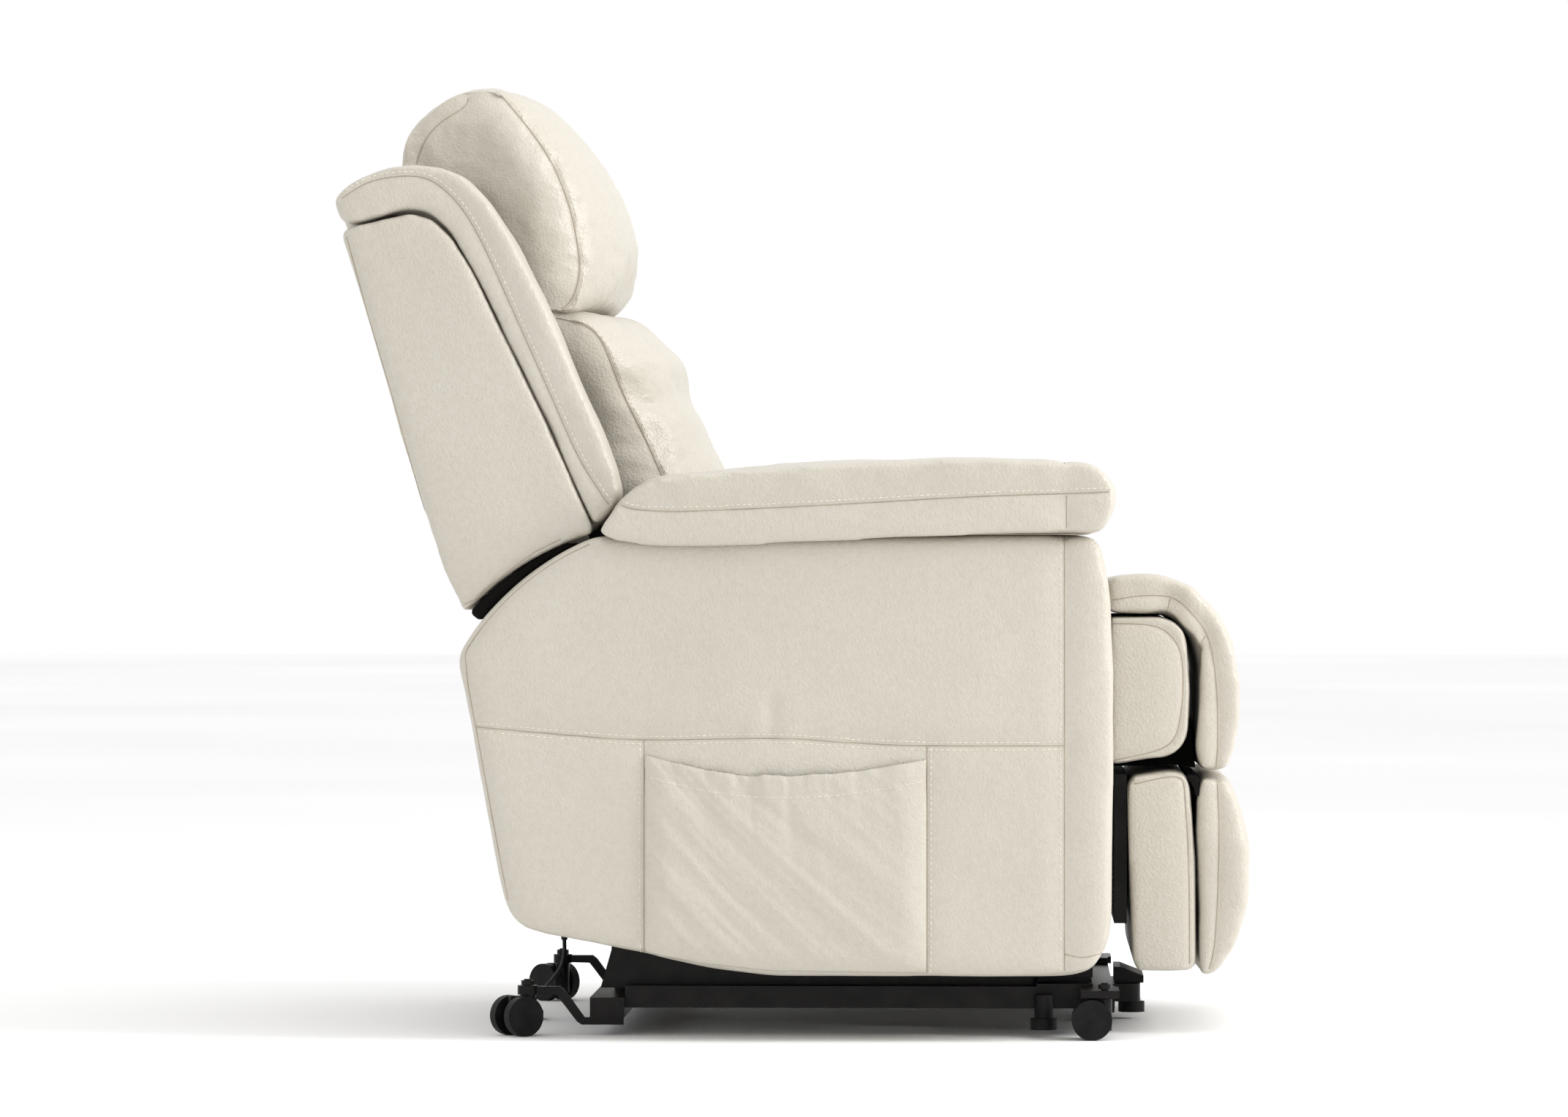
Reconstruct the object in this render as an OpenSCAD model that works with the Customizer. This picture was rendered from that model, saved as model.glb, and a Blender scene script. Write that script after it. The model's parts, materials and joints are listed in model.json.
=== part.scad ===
// Lift recliner chair on castors: a leather armchair whose seat body rises and tips
// forward on a steel base, whose back reclines and whose legrest swings out on a
// scissor linkage.
// Frame: +X to the chair's front, +Z up, the sitter's right arm at -Y.
// Origin: centre of the chair's own box, on the floor. Millimetres.

/* [Body] */
// Overall width over the arm pads
chair_w = 840; // [820:2:860]
// Width of the outside of one arm
arm_w = 141; // [135:1:150]
// Height of the seat's front crown above the floor
seat_top = 506; // [500:1:510]
// Half width of the backrest over its side panels
back_half_w = 385; // [370:1:390]

/* [Mechanism] */
// Plate thickness of the lift linkage
lift_plate_t = 6; // [4:1:6]
// Radius of the lift linkage's pivot bolts
bolt_r = 6; // [5:0.5:7]
// Radius of the legrest linkage's rivets
rivet_r = 5; // [4:0.5:5]
// Running clearance on the radius of every pivot
run_clear = 0.06; // [0.02:0.01:0.08]
// Radius of the castor wheels
wheel_r = 22; // [20:1:23]

/* [Power lead] */
// Diameter of the power lead
lead_d = 4.5; // [4:0.1:5]

/* [Hidden] */

LEATHER = [0.86, 0.83, 0.76];
STEEL = [0.09, 0.085, 0.085];
PLASTIC = [0.06, 0.06, 0.06];
TIMBER = [0.72, 0.56, 0.38];
ZINC = [0.6, 0.6, 0.58];

half_w = chair_w / 2;
pocket_t = 14;
arm_out = half_w - 15;
arm_in = arm_out - arm_w;

// Pivots of the lift linkage, [x, z]: two base pivots and two pivots on the seat body
arm_base = [215, 120];
arm_tip = [-183, 110];
link_base = [299, 84.5];
link_tip = [10, 61];
// Cross bar of the lift arms, which the lift actuator pushes
lift_bar = [176.9, 178.7];
lift_bar_r = 8;
// Recline pivot, and the pin on the back frame that the recline actuator pulls
recline_pivot = [-104, 273];
recline_pin = [-139.4, 224.4];
recline_pin_r = 6;
// Legrest: centre that the scissor linkage turns the legrest about, and its pivots
leg_centre = [464, 446];
crank_pivot = [284, 304];
board_low = [344, 236];
board_high = [344, 276];
crank_low = crank_pivot + board_low - leg_centre;
crank_high = crank_pivot + board_high - leg_centre;
idler_offset = 0.25 * (board_low - crank_low);
idler_pivot = crank_pivot + idler_offset;
idler_tip = crank_low + idler_offset;
// Cross bar of the legrest cranks, which the legrest actuator pushes
crank_bar = [263.9, 263.7];
crank_bar_r = 6;
// Rear pivots of the three actuators
lift_anchor = [-150, 92];
recline_anchor = [120, 245];
legrest_anchor = [-140, 157];

// Levels across the chair of each plate, [inner, outer] distance from the middle
L_CHAIR = [252, 252 + lift_plate_t];
L_LINK = [244, 244 + lift_plate_t];
L_BASE = [236, 236 + lift_plate_t];
L_STAND = [188, 188 + lift_plate_t];
L_ARM = [180, 180 + lift_plate_t];
L_SEAT = [218, 222];
L_CRANK = [211, 215];
L_COUPLER = [204, 208];
L_BOARD = [197, 201];

// Arcs about the recline pivot: the arm's rear top edge, and the back's lower edge at angle a
arm_arc_r = 295.5;
function back_arc(a) = polar(recline_pivot, 302 + 13 * (a - 112) / 31, a);

// Castor stems, [x, y], and the angle that each castor trails at
castor_front = [342, 350];
castor_rear = [-292, 300];
castor_trail = 14;
castor_angles = [215, 140, 180, 170];

eps = 0.01;
$fn = 48;

function polar(c, r, a) = c + r * [cos(a), sin(a)];
function arc(c, r, a0, a1, n) = [for (i = [0:n]) polar(c, r, a0 + (a1 - a0) * i / n)];
function heading(p, q) = atan2(q[1] - p[1], q[0] - p[0]);

// A side profile, in x and z, drawn out from y0 to y1
module slab(y0, y1, pts)
  translate([0, y1, 0]) rotate([90, 0, 0]) linear_extrude(y1 - y0) polygon(pts);

module both_sides() {
  children();
  mirror([0, 1, 0]) children();
}

module block(x, y, z) translate([x[0], y[0], z[0]]) cube([x[1] - x[0], y[1] - y[0], z[1] - z[0]]);

// A round post across the chair at p, over the levels lv on the right side
module post(p, r, lv) translate([p[0], -lv[0], p[1]]) rotate([90, 0, 0]) cylinder(r = r, h = lv[1] - lv[0]);

// A flat bar with round ends, without its holes
module bar(p, q, w, lv) let (h = heading(p, q)) slab(-lv[1], -lv[0],
  concat(arc(q, w / 2, h - 90, h + 90, 12), arc(p, w / 2, h + 90, h + 270, 12)));

module bore(p, r, lv) post(p, r + run_clear, [lv[0] - 1, lv[1] + 1]);

// ---------------------------------------------------------------- base

rail = [264, 290];
rail_z = [30, 54];
rear_bar_x = [-223, -185];

module base_rails() color(STEEL) both_sides() difference() {
  block([rear_bar_x[1], 354], [-rail[1], -rail[0]], rail_z);
  block([rear_bar_x[1] - 1, 355], [2 - rail[1], -2 - rail[0]], rail_z + [2, -2]);
}

module crossbar_end(y) translate([375, y, 24]) cylinder(r = 11, h = 20);

module base_crossbars() color(STEEL) {
  block(rear_bar_x, [-306, 306], [20, 42]);
  block([330, 354], [-rail[0], rail[0]], [24, 46]);
  block([353, 375], [-74, 74], [24, 44]);
  crossbar_end(-63);
  crossbar_end(63);
  block([364, 386], [-63, 63], [24, 44]);
  both_sides() {
    block([-208, -190], [-95, -85], [41, supply_z[0]]);
    block([supply_x[0], -190], [-95, -85], [supply_z[0] - 4, supply_z[0]]);
    slab(-17, -12, [[-210, 41], [-186, 41], [-140, 82], [-140, 103], [-165, 103]]);
  }
  post(lift_anchor, 5, [-12.5, 12.5]);
}

// Inner pair of stands carries the lift arms, outer pair carries the lift links
module lift_brackets() color(STEEL) both_sides() {
  difference() {
    slab(-L_STAND[1], -L_STAND[0], [[330, 24], [330, 46], [262, 118], [232, 137], [200, 137],
      [196, 116], [280, 24]]);
    bore(arm_base, bolt_r, L_STAND);
  }
  difference() {
    union() {
      slab(-L_BASE[1], -L_BASE[0], [[268, 54], [330, 54], [320, 96], [308, 104], [290, 104], [279, 96]]);
      block([268, 330], [-rail[1], -L_BASE[0]], [54, 57]);
    }
    bore(link_base, bolt_r, L_BASE);
  }
}

module bolt(p, lv) {
  post(p, bolt_r, lv);
  post(p, bolt_r + 3, [lv[0] - 1.8, lv[0]]);
  post(p, bolt_r + 3, [lv[1], lv[1] + 1.8]);
}

module base_pivot_bolts() color(ZINC) both_sides() {
  bolt(arm_base, [L_ARM[0], L_STAND[1]]);
  bolt(link_base, [L_BASE[0], L_LINK[1]]);
}

// Cranked arm that carries a rear castor behind the base
module castor_outrigger() {
  slab(-castor_rear[1] - 4, 4 - castor_rear[1], [[-186, 20], [-186, 12], [-232, 12], [-237, 15],
    [-260, 45], [-292, 46], [-292, 54], [-256, 54], [-251, 50], [-229, 20]]);
  translate([castor_rear[0], -castor_rear[1], 45]) cylinder(r = 11, h = 10);
}

module castor_brackets() color(STEEL) both_sides() {
  difference() {
    castor_outrigger();
    translate([castor_rear[0], -castor_rear[1], 40]) cylinder(r = 4 + run_clear, h = 20);
  }
  difference() {
    block([316, 358], [-castor_front[1] - 14, -rail[1]], [46, 54]);
    translate([castor_front[0], -castor_front[1], 40]) cylinder(r = 4 + run_clear, h = 20);
  }
}

module foot(x, y, top) translate([x, y, 0]) {
  translate([0, 0, 10]) cylinder(r = 10.5, h = top - 10);
  translate([0, 0, 8]) cylinder(r = 15, h = 12);
}

module levelling_feet() color(PLASTIC) {
  both_sides() {
    foot(276, -rail[1] - 16, 46);
    block([266, 286], [-rail[1] - 16, -rail[1]], [34, 46]);
  }
  foot(377, 0, 24);
}

module stabiliser_cover() color(PLASTIC) difference() {
  slab(-52, 52, [[357, 44], [390, 44], [390, 52], [364, 62], [357, 62]]);
  slab(-49, 49, [[360, 43], [387, 43], [387, 50], [363, 59], [360, 59]]);
}

supply_x = [-284, -240];
supply_y = [-100, 100];
supply_z = [108, 150];
lead_exit = [-267, -60];

module power_supply() color(PLASTIC) difference() {
  block(supply_x, supply_y, supply_z);
  translate([lead_exit[0], lead_exit[1], supply_z[0] - 1]) cylinder(r = 5, h = 12);
}

gland_end = 92;
module cable_gland() color(PLASTIC) translate([lead_exit[0], lead_exit[1], 0]) difference() {
  union() {
    translate([0, 0, gland_end]) cylinder(r1 = 3.4, r2 = 5.2, h = supply_z[0] - gland_end);
    translate([0, 0, supply_z[0]]) cylinder(r = 4.9, h = 8);
  }
  translate([0, 0, supply_z[0] - 2]) cylinder(r = lead_d / 2, h = 12);
}

// Route of the lead from the gland to the coil on the floor, and from the coil to the plug
lead_r = lead_d / 2;
lead_route = [
  [-267, -60, 92], [-267, -60, 77], [-270, -60, 63], [-279, -60, 49], [-291, -60, 35],
  [-302, -61, 23], [-310, -63, 13], [-318, -64, 6], [-326, -63, 2.9], [-334, -60.5, lead_r]];
lead_tail = [[-342, -18, 11.5], [-342, -8, 16], [-341, 2, 14.5], [-339, 12, 9], [-337, 20, 7]];

// Catmull-Rom point on the route, t counted in route points
function clampi(i, n) = max(0, min(n, i));
function spline(p, t) =
  let (n = len(p) - 1, i = clampi(floor(t), n - 1), u = t - i,
       a = p[clampi(i - 1, n)], b = p[i], c = p[i + 1], d = p[clampi(i + 2, n)])
  0.5 * (2 * b + (c - a) * u + (2 * a - 5 * b + 4 * c - d) * u * u + (3 * b - a - 3 * c + d) * u * u * u);
function unit(v) = v / norm(v);

module tube(route, r, per) {
  sides = 8;
  rings = (len(route) - 1) * per;
  pts = [for (k = [0:rings]) spline(route, k / per)];
  dirs = [for (k = [0:rings]) unit(pts[min(k + 1, rings)] - pts[max(k - 1, 0)])];
  side = [for (d = dirs) unit(cross(d, [0.35, 0.2, 0.9]))];
  verts = [for (k = [0:rings], s = [0:sides - 1])
    pts[k] + r * (cos(360 * s / sides) * side[k] + sin(360 * s / sides) * cross(side[k], dirs[k]))];
  faces = concat(
    [[for (s = [0:sides - 1]) s]],
    [[for (s = [sides - 1:-1:0]) rings * sides + s]],
    [for (k = [0:rings - 1], s = [0:sides - 1]) let (t = (s + 1) % sides)
      [k * sides + t, k * sides + s, (k + 1) * sides + s, (k + 1) * sides + t]]);
  polyhedron(verts, faces);
}

module power_lead() color(PLASTIC) {
  tube(lead_route, lead_r, 3);
  tube(lead_tail, lead_r, 3);
}

// Three turns side by side, in three layers
coil_centre = [-324, -32.6];
coil_mid_r = 22.8;
coil_pitch = 4.6;
module power_lead_coil() color(PLASTIC) translate([coil_centre[0], coil_centre[1], 0])
  rotate_extrude() translate([coil_mid_r - 1.5 * coil_pitch, 0]) square([3 * coil_pitch, 3 * coil_pitch]);

module power_plug() color(PLASTIC) translate([-337, 20, 7]) rotate([0, 0, 90]) {
  rotate([0, 90, 0]) cylinder(r1 = 3.2, r2 = 5, h = 22);
  block([21, 56], [-15, 15], [-7, 7]);
  for (y = [-9.5, 9.5]) translate([55, y, 0]) rotate([0, 90, 0]) cylinder(r = 2, h = 19);
}

// ---------------------------------------------------------------- lift linkage

module lift_arms() color(STEEL) {
  both_sides() difference() {
    union() {
      bar(arm_base, arm_tip, 30, L_ARM);
      bar(arm_base, lift_bar, 26, L_ARM);
    }
    bore(arm_base, bolt_r, L_ARM);
    bore(arm_tip, bolt_r, L_ARM);
  }
  post(lift_bar, lift_bar_r, [-L_ARM[0] - eps, L_ARM[0] + eps]);
}

// Slack of the link's upper hole round its bolt, which takes up the linkage's small error
link_slack = 1.25;
module lift_links() color(STEEL) both_sides() difference() {
  bar(link_base, link_tip, 26, L_LINK);
  bore(link_base, bolt_r, L_LINK);
  post(link_tip, bolt_r + link_slack, [L_LINK[0] - 1, L_LINK[1] + 1]);
}

// A linear actuator lies along its own +X from its rear pivot. rest_len is its length at rest,
// and draw is how far its rod goes in from there
tube_r = 14;
rod_r = 9;
module actuator_body(rest_len, motor_side, draw = 0) {
  difference() {
    union() {
      rotate([90, 0, 0]) cylinder(r = 11, h = 22, center = true);
      block([0, 20], [-10, 10], [-9, 9]);
      block([18, 66], [-21, 21], [-21, 21]);
      translate([65, 0, 0]) rotate([0, 90, 0]) cylinder(r = tube_r, h = rest_len - 100 - draw);
      translate([20, motor_side * 38, 0]) rotate([0, 90, 0]) cylinder(r = 18, h = 110);
      block([24, 60], motor_side > 0 ? [20, 38] : [-38, -20], [-14, 14]);
    }
    rotate([90, 0, 0]) cylinder(r = 5 + run_clear, h = 30, center = true);
    translate([75, 0, 0]) rotate([0, 90, 0]) cylinder(r = rod_r + run_clear, h = rest_len);
  }
}

module actuator_rod(rest_len, eye_hole_r, draw = 0) difference() {
  union() {
    translate([80 + draw, 0, 0]) rotate([0, 90, 0])
      cylinder(r = rod_r, h = rest_len - 80 - draw - eye_hole_r);
    translate([rest_len, 0, 0]) rotate([90, 0, 0]) cylinder(r = eye_hole_r + 5, h = 14, center = true);
  }
  translate([rest_len, 0, 0]) rotate([90, 0, 0]) cylinder(r = eye_hole_r, h = 30, center = true);
}

module along(anchor, target, y) translate([anchor[0], y, anchor[1]]) rotate([0, -heading(anchor, target), 0]) children();

lift_y = 0;
recline_y = 84;
legrest_y = -84;
// Slack of each rod's eye round its bar, which takes up the rod's small sideways swing
lift_eye = lift_bar_r + 6.5;
recline_eye = recline_pin_r + 2.5;
legrest_eye = crank_bar_r + 9.8;
// The recline rod is out when the back is upright, and goes in as the back reclines
recline_draw = 37;

module lift_actuator_body() color(PLASTIC) along(lift_anchor, lift_bar, lift_y)
  actuator_body(norm(lift_bar - lift_anchor), 1);
module lift_actuator_rod() color(ZINC) along(lift_anchor, lift_bar, lift_y)
  actuator_rod(norm(lift_bar - lift_anchor), lift_eye);
module recline_actuator_body() color(PLASTIC) along(recline_anchor, recline_pin, recline_y)
  actuator_body(norm(recline_pin - recline_anchor), 1, recline_draw);
module recline_actuator_rod() color(ZINC) along(recline_anchor, recline_pin, recline_y)
  actuator_rod(norm(recline_pin - recline_anchor), recline_eye, recline_draw);
module legrest_actuator_body() color(PLASTIC) along(legrest_anchor, crank_bar, legrest_y)
  actuator_body(norm(crank_bar - legrest_anchor), -1);
module legrest_actuator_rod() color(ZINC) along(legrest_anchor, crank_bar, legrest_y)
  actuator_rod(norm(crank_bar - legrest_anchor), legrest_eye);

// ---------------------------------------------------------------- seat body

deck_z = [290, 330];
module mechanism_side_plates() color(STEEL) both_sides() difference() {
  slab(-L_CHAIR[1], -L_CHAIR[0], [
    [-214, 50], [-30, 50], [-12, 46], [32, 46], [50, 50], [262, 50], [265, 62], [330, 62],
    [330, 92], [152, 92], [152, deck_z[0]], [100, deck_z[0]], [80, 92], [-70, 92], [-78, deck_z[0] + 2],
    [-128, deck_z[0] + 2], [-200, 150], [-202, 92]]);
  bore(arm_tip, bolt_r, L_CHAIR);
  bore(link_tip, bolt_r, L_CHAIR);
  bore(recline_pivot, bolt_r, L_CHAIR);
}

module chair_pivot_bolts() color(ZINC) both_sides() {
  bolt(arm_tip, [L_ARM[0], L_CHAIR[1]]);
  bolt(link_tip, [L_LINK[0], L_CHAIR[1]]);
  bolt(recline_pivot, [L_LINK[0], L_CHAIR[1]]);
}

spring_rail_x = [-46, 240];
module seat_deck_frame() color(TIMBER) {
  both_sides() {
    block([-70, 345], [-arm_in, -L_CHAIR[1] - 1], deck_z);
    block([255, 331], [-194, -178], [318, 334]);
  }
  block([-70, spring_rail_x[0]], [-arm_in, arm_in], [deck_z[0] + 4, deck_z[1]]);
  block([spring_rail_x[1], 256], [-arm_in, arm_in], [deck_z[0] + 6, deck_z[1]]);
  block([330, 348], [-194, 194], [318, 352]);
}

// Sinuous springs run from the front of the deck to its rear, in a zigzag
spring_wire_r = 1.9;
spring_pitch = 22;
module spring_leg(x, y0, y1) translate([x, y0, 0]) rotate([-90, 0, 0]) cylinder(r = spring_wire_r, h = y1 - y0);
module spring_run(y) translate([spring_rail_x[0], y, 322]) for (i = [0:12]) translate([i * spring_pitch, 0, 0]) {
  spring_leg(0, i == 0 ? -1 : -18, i == 0 ? 1 : 18);
  translate([0, i == 0 ? 0 : (i % 2 == 0 ? 17 : -17), 0]) rotate([0, 90, 0])
    cylinder(r = spring_wire_r, h = spring_pitch);
}
module seat_springs() color(ZINC) for (y = [-150, -50, 50, 150]) spring_run(y);

module seat_cushion() color(LEATHER) slab(1 - arm_in, arm_in - 1, [
  [-98, 334], [-98, 462], [-60, 472], [90, 480], [250, seat_top - 10], [345, seat_top - 4],
  [345, 356], [262, 356], [252, 334]]);

module chaise_bridge() color(LEATHER) slab(2 - arm_in, arm_in - 2, [
  [346, seat_top - 3], [380, seat_top + 2], [406, seat_top], [441, 492], [467, 466], [485, 431],
  [493, 388], [493, 344], [486, 309], [478, 290], [450, 290], [444, 311], [447, 363], [448, 406],
  [440, 440], [415, 462], [370, 464], [349, 464], [346, 470]]);

module seat_fascia() color(LEATHER) difference() {
  slab(2 - arm_in, arm_in - 2, concat(
    [[349, 296], [396, 304]], arc([402, 338], 34, -80, 0, 4),
    [[438, 380], [435, 423]], arc([402, 428], 33, 10, 90, 4), [[349, 461]]));
  slab(-226, 226, [[340, 290], [412, 290], [412, 440], [340, 440]]);
}

arm_profile = concat(
  arc(recline_pivot, arm_arc_r, 111, 151, 10),
  [[-355, 383], [-345, 336], [-335, 281], [-321, 205], [-311, 154], [-303, 137], [-288, 124],
   [-260, 117], [-209, 106], [-150, 93], [-86, 79], [-19, 71], [45, 71], [305, 71], [329, 79],
   [344, 103], [349, 128], [349, 408], [345, 493], [338, 536], [330, 550], [298, 551]]);

// A block as wide as the arm whose leather skin is skin thick round the timber frame inside
skin = 16;
module arm_shell() difference() {
  slab(-arm_out, -arm_in, arm_profile);
  translate([0, -arm_in - skin, 0]) rotate([90, 0, 0]) linear_extrude(arm_w - 2 * skin)
    offset(delta = -skin) polygon(arm_profile);
}
module arm_right_shell() color(LEATHER) difference() {
  arm_shell();
  block([140, 236], [-arm_in - 12, 1 - arm_in], [486, 528]);
}
module arm_left_shell() color(LEATHER) mirror([0, 1, 0]) arm_shell();

module arm_frame() {
  ply = [-arm_out + skin + 1, -arm_in - skin - 1];
  block([-215, 320], ply, [500, 520]);
  block([-215, 320], ply, [126, 144]);
  for (x = [-215, 30, 302]) block([x, x + 18], ply, [144, 500]);
}
module arm_frames() color(TIMBER) both_sides() arm_frame();

pad_profile = [
  [-206, 553], [-196, 572], [-184, 588], [-160, 604], [-133, 612], [-75, 619], [-6, 624],
  [79, 628], [164, 630], [249, 630], [308, 629], [333, 622], [347, 608], [352, 594], [347, 574],
  [338, 556], [330, 550], [298, 551], [-195, 546]];
// Lip of the pad, which hangs down over the arm's outer side
pad_lip = [
  [-206, 553], [-190, 570], [345, 570], [338, 555], [298, 554], [164, 549], [79, 545], [-6, 541],
  [-90, 537], [-133, 537], [-175, 541], [-198, 547]];
module arm_pad() {
  slab(-half_w, 12 - arm_in, [for (p = pad_profile) [p[0], max(p[1], 552)]]);
  slab(-half_w, -arm_out - 2.5, pad_lip);
}
module arm_right_pad() color(LEATHER) arm_pad();
module arm_left_pad() color(LEATHER) mirror([0, 1, 0]) arm_pad();

// Open-topped pocket of a leather sheet, held off the arm's side by its sewn edges
pocket_x = [-158, 148];
pocket_z = [76, 314];
module side_pocket() color(LEATHER) difference() {
  slab(-arm_out - pocket_t, -arm_out, [
    [pocket_x[0], 96], [-20, pocket_z[0]], [pocket_x[1], pocket_z[0]], [pocket_x[1], pocket_z[1]],
    [60, 296], [-30, 294], [pocket_x[0], pocket_z[1] + 2]]);
  slab(-arm_out - pocket_t + 3, 1 - arm_out, [
    [pocket_x[0] + 8, 104], [-20, 84], [pocket_x[1] - 8, 84], [pocket_x[1] - 8, 330],
    [pocket_x[0] + 8, 330]]);
}

panel_x = [142, 234];
panel_z = [488, 526];
rocker_x = [165, 211];
rocker_h = 26;
module rocker_space(x) block([x - 17.5, x + 17.5], [-arm_in - 9, 2 - arm_in], [507 - rocker_h / 2 - 0.5, 507 + rocker_h / 2 + 0.5]);
module control_panel() color(PLASTIC) difference() {
  block(panel_x, [-arm_in - 11, -arm_in], panel_z);
  for (x = rocker_x) rocker_space(x);
}
module rocker(x) {
  block([x - 17, x + 17], [-arm_in - 3, -arm_in + 1], [507 - rocker_h / 2 + 1.5, 507 + rocker_h / 2 - 1.5]);
  translate([x - 17, -arm_in - 4, 507]) rotate([0, 90, 0]) cylinder(r = 3, h = 34);
}
module rocker_recline() color(PLASTIC) rocker(rocker_x[0]);
module rocker_lift() color(PLASTIC) rocker(rocker_x[1]);

module rear_panel() color(LEATHER) slab(1 - arm_in, arm_in - 1, [
  [-350, 370], [-343, 336], [-333, 281], [-319, 205], [-309, 152], [-296, 152], [-305, 205],
  [-319, 281], [-329, 336], [-336, 370]]);

module legrest_hinge_plates() color(STEEL) both_sides() {
  slab(-L_SEAT[1], -L_SEAT[0], [[264, 292], [300, 290], [346, 322], [342, 352], [320, 354], [264, 328]]);
  post(crank_pivot, rivet_r, [L_CRANK[0] - 2, L_SEAT[0] + eps]);
  post(idler_pivot, rivet_r, [L_CRANK[0] - 2, L_SEAT[0] + eps]);
}

// Two ears and a pin at y that hold an actuator's rear eye; ear is their side outline
module clevis(p, y, ear) {
  slab(y - 16, y - 12, ear);
  slab(y + 12, y + 16, ear);
  post(p, 5, [-y - 13, 13 - y]);
}
module actuator_crosstubes() color(STEEL) {
  clevis(recline_anchor, recline_y, [[110, 236], [128, 235], [146, 264], [126, 264]]);
  clevis(legrest_anchor, legrest_y, [[-150, 147], [-131, 150], [-150, 178], [-170, 178]]);
  block([126, 150], [-L_CHAIR[0], L_CHAIR[0]], [262, 287]);
  block([-174, -148], [-L_CHAIR[0], L_CHAIR[0]], [176, 200]);
}

// ---------------------------------------------------------------- backrest

back_bar = [recline_pivot, [-168, 460], [-375, 900]];
function on_back(z) = let (a = back_bar[1], b = back_bar[2]) a[0] + (b[0] - a[0]) * (z - a[1]) / (b[1] - a[1]);
module back_frame() color(STEEL) {
  both_sides() difference() {
    union() {
      bar(back_bar[0], back_bar[1], 32, L_LINK);
      bar(back_bar[1], back_bar[2], 32, L_LINK);
      bar(recline_pivot, recline_pin, 26, L_LINK);
    }
    bore(recline_pivot, bolt_r, L_LINK);
  }
  for (z = [500, 705, 885])
    block([on_back(z) - 9, on_back(z) + 9], [-L_LINK[0] - eps, L_LINK[0] + eps], [z - 14, z + 14]);
  post(recline_pin, recline_pin_r, [-L_LINK[0] - eps, L_LINK[0] + eps]);
}

// Side panels and rear panel of the back, in one folded skin, and the flap under the head cushion
side_panel = concat(
  [for (a = [112:5:142]) back_arc(a)],
  [[-358, 464], [-382, 519], [-407, 612], [-433, 706], [-458, 791], [-486, 884], [-416, 902],
   [-395, 895], [-374, 875], [-352, 839], [-309, 754], [-267, 666]]);
module back_outer_shell() color(LEATHER) {
  both_sides() slab(-back_half_w, -back_half_w + 30, side_panel);
  difference() {
    slab(-back_half_w + 29, back_half_w - 29, [
      [-340, 482], [-358, 464], [-382, 519], [-407, 612], [-433, 706], [-458, 791], [-486, 884],
      [-497, 918], [-476, 922], [-464, 884], [-436, 791], [-411, 706], [-385, 612], [-362, 526]]);
    both_sides() slab(-back_half_w, -back_half_w + 95.5,
      [[-520, 878], [-440, 896], [-440, 950], [-520, 950]]);
  }
  slab(-back_half_w + 96, back_half_w - 96, [
    [-497, 918], [-476, 922], [-440, 933], [-384, 949], [-380, 941], [-438, 924], [-470, 912], [-480, 902]]);
}

wing_band = [
  [-500, 916], [-492, 926], [-472, 941], [-442, 953], [-412, 957], [-382, 953], [-357, 941],
  [-331, 915], [-305, 877], [-271, 809], [-237, 732], [-207, 664], [-190, 621], [-185, 597],
  [-190, 580], [-203, 567], [-214, 558], [-220, 572], [-231, 592], [-265, 672], [-308, 761],
  [-351, 846], [-373, 882], [-394, 902], [-416, 906], [-488, 888]];
module back_wings() color(LEATHER) both_sides() {
  slab(-back_half_w, -back_half_w + 95, wing_band);
  slab(-back_half_w + 31, -back_half_w + 95, concat(
    [for (a = [112:6:130]) back_arc(a) + [-1, 1]],
    [[-330, 540], [-362, 640], [-395, 760], [-430, 884], [-416, 900], [-394, 896], [-370, 876],
     [-348, 840], [-305, 755], [-262, 666]]));
}

// Black cloth that closes the back's underside, seen in the gap above the arm
module back_underside() color(STEEL) slab(9 - back_half_w, back_half_w - 9, concat(
  arc(recline_pivot, arm_arc_r + 2, 116, 142, 8),
  [for (a = [142:-5:117]) back_arc(a) - 0.8 * [cos(a), sin(a)]]));

pillow_half_w = 285;
module head_pillow() color(LEATHER) slab(-pillow_half_w, pillow_half_w, [
  [-444, 940], [-446, 975], [-431, 1002], [-405, 1030], [-378, 1049], [-342, 1059], [-297, 1042],
  [-261, 1011], [-225, 957], [-203, 903], [-194, 850], [-200, 812], [-220, 794], [-257, 792],
  [-296, 806], [-340, 910], [-370, 960]]);
module lumbar_pillow() color(LEATHER) difference() {
  slab(-pillow_half_w, pillow_half_w, [
    [-294, 798], [-257, 788], [-210, 790], [-172, 783], [-146, 750], [-136, 706], [-120, 668],
    [-100, 635], [-84, 600], [-76, 550], [-78, 510], [-96, 476], [-128, 474], [-160, 500],
    [-192, 560], [-232, 640]]);
  both_sides() slab(-pillow_half_w - 1, -250, [
    [-300, 460], [-60, 460], [-60, 640], [-205, 640], [-230, 632], [-300, 632]]);
}

// ---------------------------------------------------------------- legrest

module legrest_frame() color(STEEL) {
  block([354, 368], [-235, 235], [121, 286]);
  both_sides() {
    slab(-L_BOARD[1], -L_BOARD[0], [[332, 226], [354 + eps, 222], [354 + eps, 290], [332, 288]]);
    post(board_low, rivet_r, [L_BOARD[1] - eps, L_COUPLER[1] + 2]);
    post(board_high, rivet_r, [L_BOARD[1] - eps, L_COUPLER[1] + 2]);
  }
}

module legrest_box() color(LEATHER) slab(2 - arm_in, arm_in - 2, [
  [368, 276], [375, 285], [413, 291], [431, 289], [438, 276], [444, 190], [445, 73], [435, 69],
  [379, 70], [374, 82], [370, 190]]);

module legrest_pad() color(LEATHER) slab(2 - arm_in, arm_in - 2, [
  [449, 284], [478, 284], [493, 248], [500, 204], [500, 143], [489, 100], [471, 69], [454, 60],
  [446, 66], [447, 100], [446, 190], [445, 260]]);

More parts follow.
